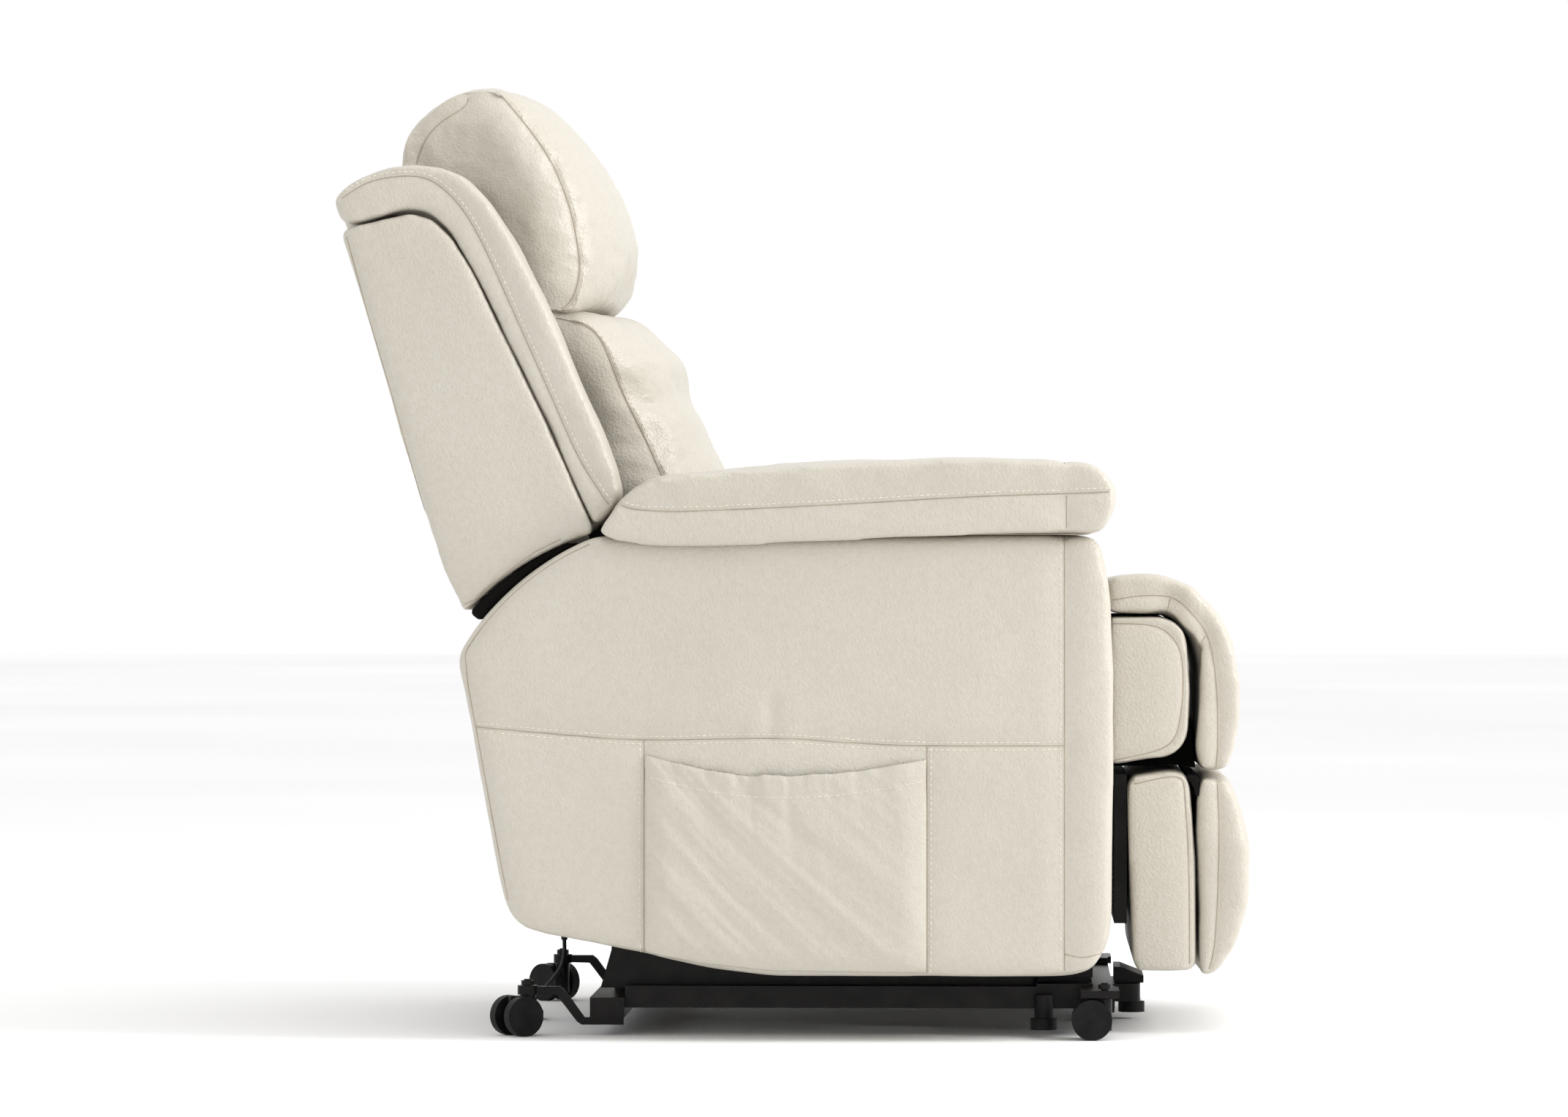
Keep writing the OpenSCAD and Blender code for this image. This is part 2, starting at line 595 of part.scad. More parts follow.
module legrest_cranks() color(STEEL) {
  both_sides() {
    difference() {
      union() {
        bar(crank_pivot, crank_low, 20, L_CRANK);
        bar(crank_low, crank_high, 20, L_CRANK);
      }
      bore(crank_pivot, rivet_r, L_CRANK);
    }
    post(crank_low, rivet_r, [L_COUPLER[0] - 2, L_CRANK[0] + eps]);
    post(crank_high, rivet_r, [L_COUPLER[0] - 2, L_CRANK[0] + eps]);
  }
  post(crank_bar, crank_bar_r, [-L_CRANK[0] - eps, L_CRANK[0] + eps]);
}

module legrest_idlers() color(STEEL) both_sides() difference() {
  bar(idler_pivot, idler_tip, 20, L_CRANK);
  bore(idler_pivot, rivet_r, L_CRANK);
  bore(idler_tip, rivet_r, L_CRANK);
}

module legrest_couplers_lower() color(STEEL) both_sides() {
  difference() {
    bar(crank_low, board_low, 20, L_COUPLER);
    bore(crank_low, rivet_r, L_COUPLER);
    bore(board_low, rivet_r, L_COUPLER);
  }
  post(idler_tip, rivet_r, [L_COUPLER[1] - eps, L_CRANK[1] + 2]);
}

module legrest_couplers_upper() color(STEEL) both_sides() difference() {
  bar(crank_high, board_high, 20, L_COUPLER);
  bore(crank_high, rivet_r, L_COUPLER);
  bore(board_high, rivet_r, L_COUPLER);
}

// ---------------------------------------------------------------- castors

module castor_frame(stem, angle) translate([stem[0], stem[1], 0]) rotate([0, 0, angle]) children();

module castor_hood() color(PLASTIC) {
  translate([0, 0, 20]) cylinder(r = 4, h = 42);
  translate([0, 0, 55.5]) cylinder(r = 7, h = 5);
  difference() {
    translate([0, 0, 10]) cylinder(r = 8, h = 34.5);
    translate([castor_trail, 20, wheel_r]) rotate([90, 0, 0]) cylinder(r = 4, h = 40);
  }
  difference() {
    block([0, castor_trail + 9], [-3, 3], [8, 44]);
    translate([castor_trail, 20, wheel_r]) rotate([90, 0, 0]) cylinder(r = 3 + run_clear, h = 40);
  }
}

module castor_wheels() color(PLASTIC) translate([castor_trail, 0, wheel_r]) rotate([90, 0, 0]) {
  for (s = [-1, 1]) translate([0, 0, s * 15]) difference() {
    cylinder(r = wheel_r, h = 11, center = true);
    translate([0, 0, -s * 5.6]) cylinder(r = 13, h = 4, center = true);
  }
  cylinder(r = 3, h = 32, center = true);
}

module castor_rear_right_hood() castor_frame([castor_rear[0], -castor_rear[1]], castor_angles[0]) castor_hood();
module castor_rear_right_wheels() castor_frame([castor_rear[0], -castor_rear[1]], castor_angles[0]) castor_wheels();
module castor_rear_left_hood() castor_frame(castor_rear, castor_angles[1]) castor_hood();
module castor_rear_left_wheels() castor_frame(castor_rear, castor_angles[1]) castor_wheels();
module castor_front_right_hood() castor_frame([castor_front[0], -castor_front[1]], castor_angles[2]) castor_hood();
module castor_front_right_wheels() castor_frame([castor_front[0], -castor_front[1]], castor_angles[2]) castor_wheels();
module castor_front_left_hood() castor_frame(castor_front, castor_angles[3]) castor_hood();
module castor_front_left_wheels() castor_frame(castor_front, castor_angles[3]) castor_wheels();

base_rails();
base_crossbars();
lift_brackets();
base_pivot_bolts();
castor_brackets();
levelling_feet();
stabiliser_cover();
power_supply();
cable_gland();
power_lead();
power_lead_coil();
power_plug();
lift_arms();
lift_links();
lift_actuator_body();
lift_actuator_rod();
mechanism_side_plates();
chair_pivot_bolts();
seat_deck_frame();
seat_springs();
seat_cushion();
chaise_bridge();
seat_fascia();
arm_right_shell();
arm_left_shell();
arm_frames();
arm_right_pad();
arm_left_pad();
side_pocket();
control_panel();
rocker_recline();
rocker_lift();
rear_panel();
legrest_hinge_plates();
actuator_crosstubes();
recline_actuator_body();
recline_actuator_rod();
legrest_actuator_body();
legrest_actuator_rod();
back_frame();
back_outer_shell();
back_underside();
back_wings();
head_pillow();
lumbar_pillow();
legrest_frame();
legrest_box();
legrest_pad();
legrest_cranks();
legrest_idlers();
legrest_couplers_lower();
legrest_couplers_upper();
castor_rear_right_hood();
castor_rear_right_wheels();
castor_rear_left_hood();
castor_rear_left_wheels();
castor_front_right_hood();
castor_front_right_wheels();
castor_front_left_hood();
castor_front_left_wheels();
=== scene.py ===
import json, math
import bpy, bmesh
import numpy as np
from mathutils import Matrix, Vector, noise
from mathutils.bvhtree import BVHTree
from mathutils.kdtree import KDTree


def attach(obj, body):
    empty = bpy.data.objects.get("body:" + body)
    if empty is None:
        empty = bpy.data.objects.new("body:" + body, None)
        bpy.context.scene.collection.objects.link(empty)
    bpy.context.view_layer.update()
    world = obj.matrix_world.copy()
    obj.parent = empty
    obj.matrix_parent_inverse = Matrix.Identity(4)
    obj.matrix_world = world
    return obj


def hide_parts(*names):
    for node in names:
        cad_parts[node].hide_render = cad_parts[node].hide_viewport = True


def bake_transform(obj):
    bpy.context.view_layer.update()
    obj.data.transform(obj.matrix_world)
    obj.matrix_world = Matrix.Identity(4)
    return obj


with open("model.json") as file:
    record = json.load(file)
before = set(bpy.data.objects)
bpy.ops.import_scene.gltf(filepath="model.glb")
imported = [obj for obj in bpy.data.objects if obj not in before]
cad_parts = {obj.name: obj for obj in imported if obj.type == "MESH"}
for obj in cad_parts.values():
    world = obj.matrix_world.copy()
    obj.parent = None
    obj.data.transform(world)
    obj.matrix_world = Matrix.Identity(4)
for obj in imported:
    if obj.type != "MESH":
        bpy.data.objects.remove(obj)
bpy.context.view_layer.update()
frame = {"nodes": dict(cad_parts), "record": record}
scene = bpy.context.scene
NODES = frame["nodes"]

# ------------------------------------------------------------------ camera and light
cam_data = bpy.data.cameras.new("camera")
cam_data.sensor_width = 36
cam_data.lens = 159.2
cam = bpy.data.objects.new("camera", cam_data)
scene.collection.objects.link(cam)
cam.location = (0.2419, -7.92, 0.525)
cam.rotation_euler = (math.radians(90), 0, math.radians(1.89))
cam_data.clip_end = 100
scene.camera = cam
scene.view_settings.view_transform = "Standard"

world = bpy.data.worlds.new("studio")
scene.world = world
world.use_nodes = True
world.node_tree.nodes["Background"].inputs[0].default_value = (1, 1, 1, 1)
world.node_tree.nodes["Background"].inputs[1].default_value = 1.0


AIM = (0, 0, 0.5)


def softbox(name, place, size, power):
    light = bpy.data.lights.new(name, "AREA")
    light.shape, light.size, light.size_y = "RECTANGLE", size[0], size[1]
    light.energy = power
    ob = bpy.data.objects.new(name, light)
    scene.collection.objects.link(ob)
    ob.location = place
    ob.rotation_euler = (Vector(AIM) - Vector(place)).to_track_quat("-Z", "Y").to_euler()


softbox("key", (3.8, -1.1, 2.3), (1.5, 1.9), 115)
softbox("top", (0.3, -0.8, 4.0), (3.0, 3.0), 30)


# ------------------------------------------------------------------ materials
def links(mat):
    mat.use_nodes = True
    return mat.node_tree, mat.node_tree.nodes["Principled BSDF"]


def tex(tree, kind, coord, **values):
    node = tree.nodes.new(kind)
    for key, value in values.items():
        if key in node.inputs:
            node.inputs[key].default_value = value
        else:
            setattr(node, key, value)
    tree.links.new(coord, node.inputs["Vector"])
    return node


def ramp(tree, source, stops):
    node = tree.nodes.new("ShaderNodeValToRGB")
    while len(node.color_ramp.elements) < len(stops):
        node.color_ramp.elements.new(0.5)
    for element, (at, colour) in zip(node.color_ramp.elements, stops):
        element.position = at
        element.color = (*colour, 1) if len(colour) == 3 else colour
    tree.links.new(source, node.inputs[0])
    return node


def bump(tree, bsdf, sources):
    last = None
    for source, distance, strength in sources:
        node = tree.nodes.new("ShaderNodeBump")
        node.inputs["Distance"].default_value = distance
        node.inputs["Strength"].default_value = strength
        tree.links.new(source, node.inputs["Height"])
        if last is not None:
            tree.links.new(last.outputs[0], node.inputs["Normal"])
        last = node
    tree.links.new(last.outputs[0], bsdf.inputs["Normal"])


def leather(name, light, dark):
    mat = bpy.data.materials.new(name)
    tree, bsdf = links(mat)
    coord = tree.nodes.new("ShaderNodeTexCoord").outputs["Object"]
    broad = tex(tree, "ShaderNodeTexNoise", coord, Scale=5.0, Detail=3.0, Roughness=0.5)
    pebble = tex(tree, "ShaderNodeTexVoronoi", coord, Scale=360.0, Randomness=1.0)
    pebble.feature = "SMOOTH_F1"
    pebble.inputs["Smoothness"].default_value = 0.35
    crease = tex(tree, "ShaderNodeTexNoise", coord, Scale=150.0, Detail=4.0, Roughness=0.62)
    pores = tex(tree, "ShaderNodeTexNoise", coord, Scale=900.0, Detail=2.0, Roughness=0.5)
    tone = ramp(tree, broad.outputs["Fac"], [(0.3, dark), (0.7, light)])
    # Painted shade: the leather is darker in the hollows of the crease texture, where its bump sinks.
    crease_shade = ramp(tree, crease.outputs["Fac"], [(0.3, (0.93, 0.92, 0.9)), (0.62, (1, 1, 1))])
    mix = tree.nodes.new("ShaderNodeMix")
    mix.data_type, mix.blend_type = "RGBA", "MULTIPLY"
    mix.inputs["Factor"].default_value = 0.8
    tree.links.new(tone.outputs[0], mix.inputs["A"])
    tree.links.new(crease_shade.outputs[0], mix.inputs["B"])
    tree.links.new(mix.outputs["Result"], bsdf.inputs["Base Color"])
    rough = tree.nodes.new("ShaderNodeMapRange")
    rough.inputs["To Min"].default_value, rough.inputs["To Max"].default_value = 0.33, 0.47
    tree.links.new(crease.outputs["Fac"], rough.inputs["Value"])
    tree.links.new(rough.outputs[0], bsdf.inputs["Roughness"])
    bsdf.inputs["Specular IOR Level"].default_value = 0.5
    bsdf.inputs["Sheen Weight"].default_value = 0.04
    bump(tree, bsdf, [(broad.outputs["Fac"], 0.004, 0.25), (crease.outputs["Fac"], 0.0009, 0.32),
                      (pebble.outputs["Distance"], 0.0009, 0.5), (pores.outputs["Fac"], 0.0002, 0.25)])
    return mat


def plain(name, base, rough, metallic=0.0, scale=220.0, spread=0.12, height=0.0002, stretch=None, spec=0.5):
    """A coat, moulding or metal with a fine procedural texture."""
    mat = bpy.data.materials.new(name)
    tree, bsdf = links(mat)
    coord = tree.nodes.new("ShaderNodeTexCoord").outputs["Object"]
    if stretch:
        place = tree.nodes.new("ShaderNodeMapping")
        place.inputs["Scale"].default_value = stretch
        tree.links.new(coord, place.inputs["Vector"])
        coord = place.outputs[0]
    fine = tex(tree, "ShaderNodeTexNoise", coord, Scale=scale, Detail=4.0, Roughness=0.6)
    dust = tex(tree, "ShaderNodeTexNoise", coord, Scale=scale * 0.07, Detail=3.0, Roughness=0.5)
    lighter = tuple(min(1, c * 1.35 + 0.006) for c in base)
    colour = ramp(tree, dust.outputs["Fac"], [(0.35, base), (0.75, lighter)])
    tree.links.new(colour.outputs[0], bsdf.inputs["Base Color"])
    r = tree.nodes.new("ShaderNodeMapRange")
    r.inputs["To Min"].default_value = max(0.03, rough - spread)
    r.inputs["To Max"].default_value = rough + spread
    tree.links.new(fine.outputs["Fac"], r.inputs["Value"])
    tree.links.new(r.outputs[0], bsdf.inputs["Roughness"])
    bsdf.inputs["Metallic"].default_value = metallic
    bsdf.inputs["Specular IOR Level"].default_value = spec
    bump(tree, bsdf, [(fine.outputs["Fac"], height, 0.4)])
    return mat


def woven(name, base, pitch=900.0):
    mat = bpy.data.materials.new(name)
    tree, bsdf = links(mat)
    coord = tree.nodes.new("ShaderNodeTexCoord").outputs["Object"]
    a = tex(tree, "ShaderNodeTexWave", coord, Scale=pitch, Distortion=0.6)
    b = tex(tree, "ShaderNodeTexWave", coord, Scale=pitch, Distortion=0.6, bands_direction="Z")
    add = tree.nodes.new("ShaderNodeMath")
    tree.links.new(a.outputs["Fac"], add.inputs[0])
    tree.links.new(b.outputs["Fac"], add.inputs[1])
    colour = ramp(tree, add.outputs[0], [(0.2, tuple(c * 0.6 for c in base)),
        (0.9, tuple(c * 1.6 for c in base))])
    tree.links.new(colour.outputs[0], bsdf.inputs["Base Color"])
    bsdf.inputs["Roughness"].default_value = 0.92
    bsdf.inputs["Specular IOR Level"].default_value = 0.12
    bsdf.inputs["Sheen Weight"].default_value = 0.01
    bump(tree, bsdf, [(add.outputs[0], 0.0004, 0.5)])
    return mat


def timber(name):
    mat = bpy.data.materials.new(name)
    tree, bsdf = links(mat)
    coord = tree.nodes.new("ShaderNodeTexCoord").outputs["Object"]
    grain = tex(tree, "ShaderNodeTexWave", coord, Scale=18.0, Distortion=9.0, Detail=4.0,
        bands_direction="Z")
    colour = ramp(tree, grain.outputs["Fac"], [(0.2, (0.52, 0.34, 0.18)), (0.8, (0.66, 0.47, 0.27))])
    tree.links.new(colour.outputs[0], bsdf.inputs["Base Color"])
    bsdf.inputs["Roughness"].default_value = 0.7
    bump(tree, bsdf, [(grain.outputs["Fac"], 0.0004, 0.3)])
    return mat


M = {
    "cream_leather": leather("cream_leather", (0.550, 0.516, 0.448), (0.530, 0.494, 0.426)),
    "seam_shadow": plain("seam_shadow", (0.33, 0.28, 0.21), 0.8, scale=400),
    "thread": plain("thread", (0.72, 0.67, 0.58), 0.7, scale=1500, height=0.0003),
    "black_steel": plain("black_steel", (0.0042, 0.0033, 0.003), 0.34, scale=500, height=0.00015,
    spec=0.15),
    "bright_steel": plain("bright_steel", (0.48, 0.48, 0.47), 0.34, metallic=1.0, stretch=(1, 1, 8)),
    "timber": timber("timber"),
    "black_fabric": woven("black_fabric", (0.005, 0.0045, 0.004)),
    "black_rubber": plain("black_rubber", (0.004, 0.0034, 0.0034), 0.5, scale=700, height=0.0003,
    spec=0.15),
    "lead_sheath": plain("lead_sheath", (0.006, 0.006, 0.006), 0.45, scale=900, spec=0.3),
    "gloss_black": plain("gloss_black", (0.005, 0.005, 0.0055), 0.2, scale=300, spread=0.05, height=0.00005,
    spec=0.4),
    "black_plastic": plain("black_plastic", (0.004, 0.0034, 0.0032), 0.36, scale=1200, height=0.0002,
    spec=0.17),
}
PAINTED_OVER = ("base_pivot_bolts", "chair_pivot_bolts")
for entry in frame["record"]["subparts"]:
    node = NODES[entry["node"]]
    node.data.materials.clear()
    node.data.materials.append(M["black_steel"
        if entry["node"] in PAINTED_OVER else entry["material_slot"]])


# ------------------------------------------------------------------ mesh helpers
def link(name, mesh):
    ob = bpy.data.objects.new(name, mesh)
    scene.collection.objects.link(ob)
    return ob


def build(name, verts, faces):
    mesh = bpy.data.meshes.new(name)
    mesh.from_pydata([tuple(v) for v in verts], [], faces)
    mesh.update()
    return link(name, mesh)


def co_of(ob):
    a = np.empty(len(ob.data.vertices) * 3)
    ob.data.vertices.foreach_get("co", a)
    return a.reshape(-1, 3)


def set_co(ob, a):
    ob.data.vertices.foreach_set("co", np.ascontiguousarray(a, np.float32).ravel())
    ob.data.update()


def normals(ob):
    a = np.empty(len(ob.data.vertices) * 3, np.float32)
    ob.data.vertices.foreach_get("normal", a)
    return a.reshape(-1, 3)


def bake(ob):
    """Applies every modifier."""
    dg = bpy.context.evaluated_depsgraph_get()
    mesh = bpy.data.meshes.new_from_object(ob.evaluated_get(dg))
    ob.modifiers.clear()
    ob.data = mesh
    mesh.name = ob.name
    return ob


def remesh(ob, voxel, smooth=10, factor=0.5):
    m = ob.modifiers.new("r", "REMESH")
    m.mode, m.voxel_size = "VOXEL", voxel / 1000
    if smooth:
        s = ob.modifiers.new("s", "SMOOTH")
        s.factor, s.iterations = factor, smooth
    return bake(ob)


def finer(ob, levels=1):
    s = ob.modifiers.new("s", "SUBSURF")
    s.levels = s.render_levels = levels
    return bake(ob)


def shade(ob):
    ob.data.polygons.foreach_set("use_smooth", [True] * len(ob.data.polygons))
    ob.data.update()


def inflate(ob, pressure, cap, frames=20):
    """Cloth with pressure: the leather fills out and wrinkles a little."""
    start = co_of(ob)
    m = ob.modifiers.new("c", "CLOTH")
    m.settings.use_pressure = True
    m.settings.uniform_pressure_force = pressure
    m.settings.effector_weights.gravity = 0
    m.settings.tension_stiffness = m.settings.compression_stiffness = 15
    m.settings.bending_stiffness = 0.6
    m.settings.quality = 4
    for f in range(1, frames + 1):
        scene.frame_set(f)
    dg = bpy.context.evaluated_depsgraph_get()
    end = np.empty(start.size)
    ob.evaluated_get(dg).data.vertices.foreach_get("co", end)
    ob.modifiers.clear()
    move = end.reshape(-1, 3) - start
    far = np.linalg.norm(move, axis=1, keepdims=True)
    limit = cap / 1000
    set_co(ob, start + move / np.maximum(far, 1e-9) * limit * np.tanh(far / limit))
    scene.frame_set(1)
    return ob


def copy_of(node, name):
    return link(name, NODES[node].data.copy())


def outward(ob):
    """Turns the normals outward."""
    bm = bmesh.new()
    bm.from_mesh(ob.data)
    bmesh.ops.recalc_face_normals(bm, faces=bm.faces)
    bm.to_mesh(ob.data)
    bm.free()
    return ob


def thicken(ob, by):
    m = ob.modifiers.new("t", "SOLIDIFY")
    m.thickness, m.offset = by, 0
    return bake(ob)


def slab(name, outline, y0, y1):
    n = len(outline)
    verts = [(x / 1000, y / 1000, z / 1000) for y in (y0, y1) for x, z in outline]
    faces = [list(range(n)), list(range(2 * n - 1, n - 1, -1))]
    faces += [[(i + 1) % n, i, n + i, n + (i + 1) % n] for i in range(n)]
    return outward(build(name, verts, faces))


def resample(points, n, closed=False):
    p = np.array(points, float)
    if closed:
        p = np.vstack([p, p[:1]])
    d = np.r_[0, np.cumsum(np.linalg.norm(np.diff(p, axis=0), axis=1))]
    t = np.linspace(0, d[-1], n, endpoint=not closed)
    return np.stack([np.interp(t, d, p[:, k]) for k in range(p.shape[1])], 1)


def spline(points, per=8, closed=False):
    """Catmull-Rom through the points."""
    p = np.array(points, float)
    n = len(p)
    out = []
    for i in range(n if closed else n - 1):
        a, b, c, d = [p[k % n] if closed else p[min(max(k, 0), n - 1)] for k in (i - 1, i, i + 1, i + 2)]
        for j in range(per):
            u = j / per
            square = (2 * a - 5 * b + 4 * c - d) * u * u
            out.append(0.5 * (2 * b + (c - a) * u + square + (3 * b - a - 3 * c + d) * u ** 3))
    if not closed:
        out.append(p[-1])
    return np.array(out)


def loft(name, side, mid, half, bulge=10, power=3.0, n=110, rings=30):
    """A cushion across the chair: its profile runs from side, at both ends, to mid in the middle."""
    a = resample(spline(side, 6, True), n, True)
    b = resample(spline(mid, 6, True), n, True)
    shift = min(range(n), key=lambda k: np.abs(np.roll(b, k, 0) - a).sum())
    b = np.roll(b, shift, 0)
    caps = (0.25, 0.6, 0.85)
    ys = np.sin(np.linspace(-1, 1, rings) * math.pi / 2)
    centre = a.mean(0)
    verts = []
    for rho in caps:
        ring = centre + (a - centre) * rho
        y = -half - bulge * (1 - rho ** 2)
        verts += [(x, y, z) for x, z in ring]
    for t in ys:
        w = 1 - abs(t) ** power
        ring = a + (b - a) * w
        verts += [(x, t * half, z) for x, z in ring]
    for rho in caps[::-1]:
        ring = centre + (a - centre) * rho
        y = half + bulge * (1 - rho ** 2)
        verts += [(x, y, z) for x, z in ring]
    total = len(verts) // n
    faces = [[k * n + i, k * n + (i + 1) % n, (k + 1) * n + (i + 1) % n, (k + 1) * n + i]
             for k in range(total - 1) for i in range(n)]
    faces += [list(range(n))[::-1], [(total - 1) * n + i for i in range(n)]]
    return outward(build(name, np.array(verts) / 1000, faces))


def ridged(p, scale, squash=(1, 1, 1), octaves=3, seed=0.0):
    q = Vector((p[0] * scale * squash[0] + seed, p[1] * scale * squash[1], p[2] * scale * squash[2]))
    return noise.fractal(q, 0.9, 2.1, octaves)


def ripple(ob, height, scale, squash=(1, 1, 1), mask=None, seed=0.0, octaves=3):
    """Soft leather folds: moves the surface in and out by noise, height in mm."""
    co, nor = co_of(ob), normals(ob)
    w = np.ones(len(co)) if mask is None else mask(co * 1000)
    h = np.array([ridged(p, scale, squash, octaves, seed) if m > 0.02 else 0.0 for p, m in zip(co, w)])
    set_co(ob, co + nor * (h * w * height / 1000)[:, None])


def tree_of(ob):
    return BVHTree.FromObject(ob, bpy.context.evaluated_depsgraph_get())


def trace(bvh, path, toward):
    """The path's points, in mm, cast along toward on to the surface."""
    out = []
    toward = Vector(toward).normalized()
    for p in path:
        hit = bvh.ray_cast(Vector(p) / 1000, toward)
        if hit[0] is not None:
            out.append((np.array(hit[0]), np.array(hit[1])))
    return out


def clean_line(hits, step=2.0):
    p = np.array([h[0] for h in hits])
    if len(p) < 3:
        return p
    keep = [0]
    for i in range(1, len(p)):
        if np.linalg.norm(p[i] - p[keep[-1]]) < 0.03:
            keep.append(i)
    p = p[keep]
    for _ in range(3):
        p[1:-1] = 0.25 * p[:-2] + 0.5 * p[1:-1] + 0.25 * p[2:]
    length = np.linalg.norm(np.diff(p, axis=0), axis=1).sum() * 1000
    return resample(p, max(4, int(length / step)))


def groove(ob, lines, depth, width):
    """Pulls the surface in along the lines; depth and width in mm."""
    co, nor = co_of(ob), normals(ob)
    points = np.vstack(lines)
    tree = KDTree(len(points))
    for i, p in enumerate(points):
        tree.insert(p, i)
    tree.balance()
    reach = 3.2 * width / 1000
    lo, hi = points.min(0) - reach, points.max(0) + reach
    near = np.nonzero(((co > lo) & (co < hi)).all(1))[0]
    d = np.array([tree.find(co[i])[2] for i in near]) if len(near) else np.zeros(0)
    move = np.exp(-(d * 1000 / width) ** 2) * depth / 1000
    co[near] -= nor[near] * move[:, None]
    set_co(ob, co)


def tube_along(verts, faces, line, radius, sides=5):
    n = len(line)
    if n < 3:
        return
    d = np.gradient(line, axis=0)
    d /= np.maximum(np.linalg.norm(d, axis=1, keepdims=True), 1e-9)
    ref = np.array([0.31, 0.22, 0.925])
    a = np.cross(d, ref)
    a /= np.maximum(np.linalg.norm(a, axis=1, keepdims=True), 1e-9)
    b = np.cross(d, a)
    base = len(verts)
    for i in range(n):
        for s in range(sides):
            t = 2 * math.pi * s / sides
            verts.append(line[i] + radius * (math.cos(t) * a[i] + math.sin(t) * b[i]))
    for i in range(n - 1):
        for s in range(sides):
            u = (s + 1) % sides
            faces.append([base + i * sides + s, base + i * sides + u, base + (i + 1) * sides + u,
                base + (i + 1) * sides + s])
    faces.append([base + s for s in range(sides)][::-1])
    faces.append([base + (n - 1) * sides + s for s in range(sides)])


def stitch_row(verts, faces, bvh, line, offset, pitch=6.4, long=4.2, wide=0.95):
    length = np.linalg.norm(np.diff(line, axis=0), axis=1).sum() * 1000
    count = int(length / pitch)
    if count < 2:
        return
    p = resample(line, count * 2 + 1)[1::2]
    d = np.gradient(p, axis=0)
    for q, t in zip(p, d):
        t = t / max(np.linalg.norm(t), 1e-9)
        hit = bvh.find_nearest(Vector(q))
        if hit[0] is None:
            continue
        nor = np.array(hit[1])
        b = np.cross(nor, t)
        hit = bvh.find_nearest(Vector(q + b * offset / 1000))
        c, nor = np.array(hit[0]), np.array(hit[1])
        b = np.cross(nor, t)
        b /= max(np.linalg.norm(b), 1e-9)
        t = np.cross(b, nor)
        base = len(verts)
        for along, half, lift in ((-0.5, 0.25, -0.1), (-0.3, 0.5, 0.28), (0.3, 0.5, 0.28),
            (0.5, 0.25, -0.1)):
            m = c + t * along * long / 1000
            for sb, sn in ((-1, 0), (0, 1), (1, 0), (0, -1)):
                verts.append(m + b * sb * half * wide / 1000 + nor * (sn * half * wide + lift) / 1000)
        for k in range(3):
            for s in range(4):
                u = (s + 1) % 4
                faces.append([base + k * 4 + s, base + k * 4 + u, base + (k + 1) * 4 + u,
                    base + (k + 1) * 4 + s])
        faces.append([base + 3, base + 2, base + 1, base])
        faces.append([base + 12, base + 13, base + 14, base + 15])


def sew(ob, seams):
    """Cuts the seams into ob and returns its thread pieces and the dark tubes of painted shade in its
    grooves.

    A seam is its path in mm, the direction it is cast in, its stitch rows' offsets and its depth.
    """
    bvh = tree_of(ob)
    lines = []
    for path, toward, rows, depth in seams:
        dense = resample(path, max(6, int(np.linalg.norm(np.diff(np.array(path, float), axis=0),
            axis=1).sum() / 3)))
        lines.append(clean_line(trace(bvh, dense, toward)))
    for line, (path, toward, rows, depth) in zip(lines, seams):
        if len(line) > 3:
            groove(ob, [line], depth * 1.1, 16)
            groove(ob, [line], depth, 3.6)
    bvh = tree_of(ob)
    shadow, thread = ([], []), ([], [])
    for line, (path, toward, rows, depth) in zip(lines, seams):
        if len(line) < 4:
            continue
        on = []
        toward = Vector(toward).normalized()
        for q in line:
            hit = bvh.ray_cast(Vector(q) - toward * 0.03, toward, 0.05)
            if hit[0] is not None:
                on.append(np.array(hit[0]) + np.array(hit[1]) * 0.00005)
        on = np.array(on)
        if len(on) < 4:
            continue
        on[1:-1] = 0.25 * on[:-2] + 0.5 * on[1:-1] + 0.25 * on[2:]
        # A thin dark tube down each deep groove, the *_seams piece in seam_shadow: painted shade in the
        # seam.
        if depth > 0.75:
            tube_along(shadow[0], shadow[1], on, 0.00055)
        for offset in rows:
            stitch_row(thread[0], thread[1], bvh, on, offset)
    made = []
    for tag, (verts, faces), key in (("seams", shadow, "seam_shadow"), ("stitches", thread, "thread")):
        if verts:
            t = build(f"{ob.name}_{tag}", verts, faces)
            t.data.materials.append(M[key])
            made.append(t)
    return made


def mirrored(ob, name):
    mesh = ob.data.copy()
    other = link(name, mesh)
    co = co_of(other)
    co[:, 1] *= -1
    set_co(other, co)
    mesh.flip_normals()
    return other


def settle(ob, threads, body=None, nodes=(), fill=None, mat="cream_leather", slot="cream_leather",
    blend=None):
    """Finishes a piece and its threads: material and body; slot is not used."""
    if not ob.data.materials:
        ob.data.materials.append(M[mat])
    for o in [ob, *threads]:
        shade(o)
        if blend:
            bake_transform(o)
        else:
            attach(o, body)
    if nodes:
        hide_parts(*nodes)


def pair(ob, threads, name, **facts):
    """The same piece on the left side."""
    other = mirrored(ob, name)
    also = [mirrored(t, t.name.replace(ob.name, name)) for t in threads]
    other.data.materials.clear()
    other.data.materials.append(ob.data.materials[0] if ob.data.materials else M["cream_leather"])
    settle(other, also, **facts)
    return other


def side(path, y=-600, to=(0, 1, 0)):
    return [(x, y, z) for x, z in path], to


def arc(c, r, a0, a1, n):
    return [(c[0] + r * math.cos(math.radians(a0 + (a1 - a0) * i / n)),
        c[1] + r * math.sin(math.radians(a0 + (a1 - a0) * i / n))) for i in range(n + 1)]

PIVOT = (-104, 273)

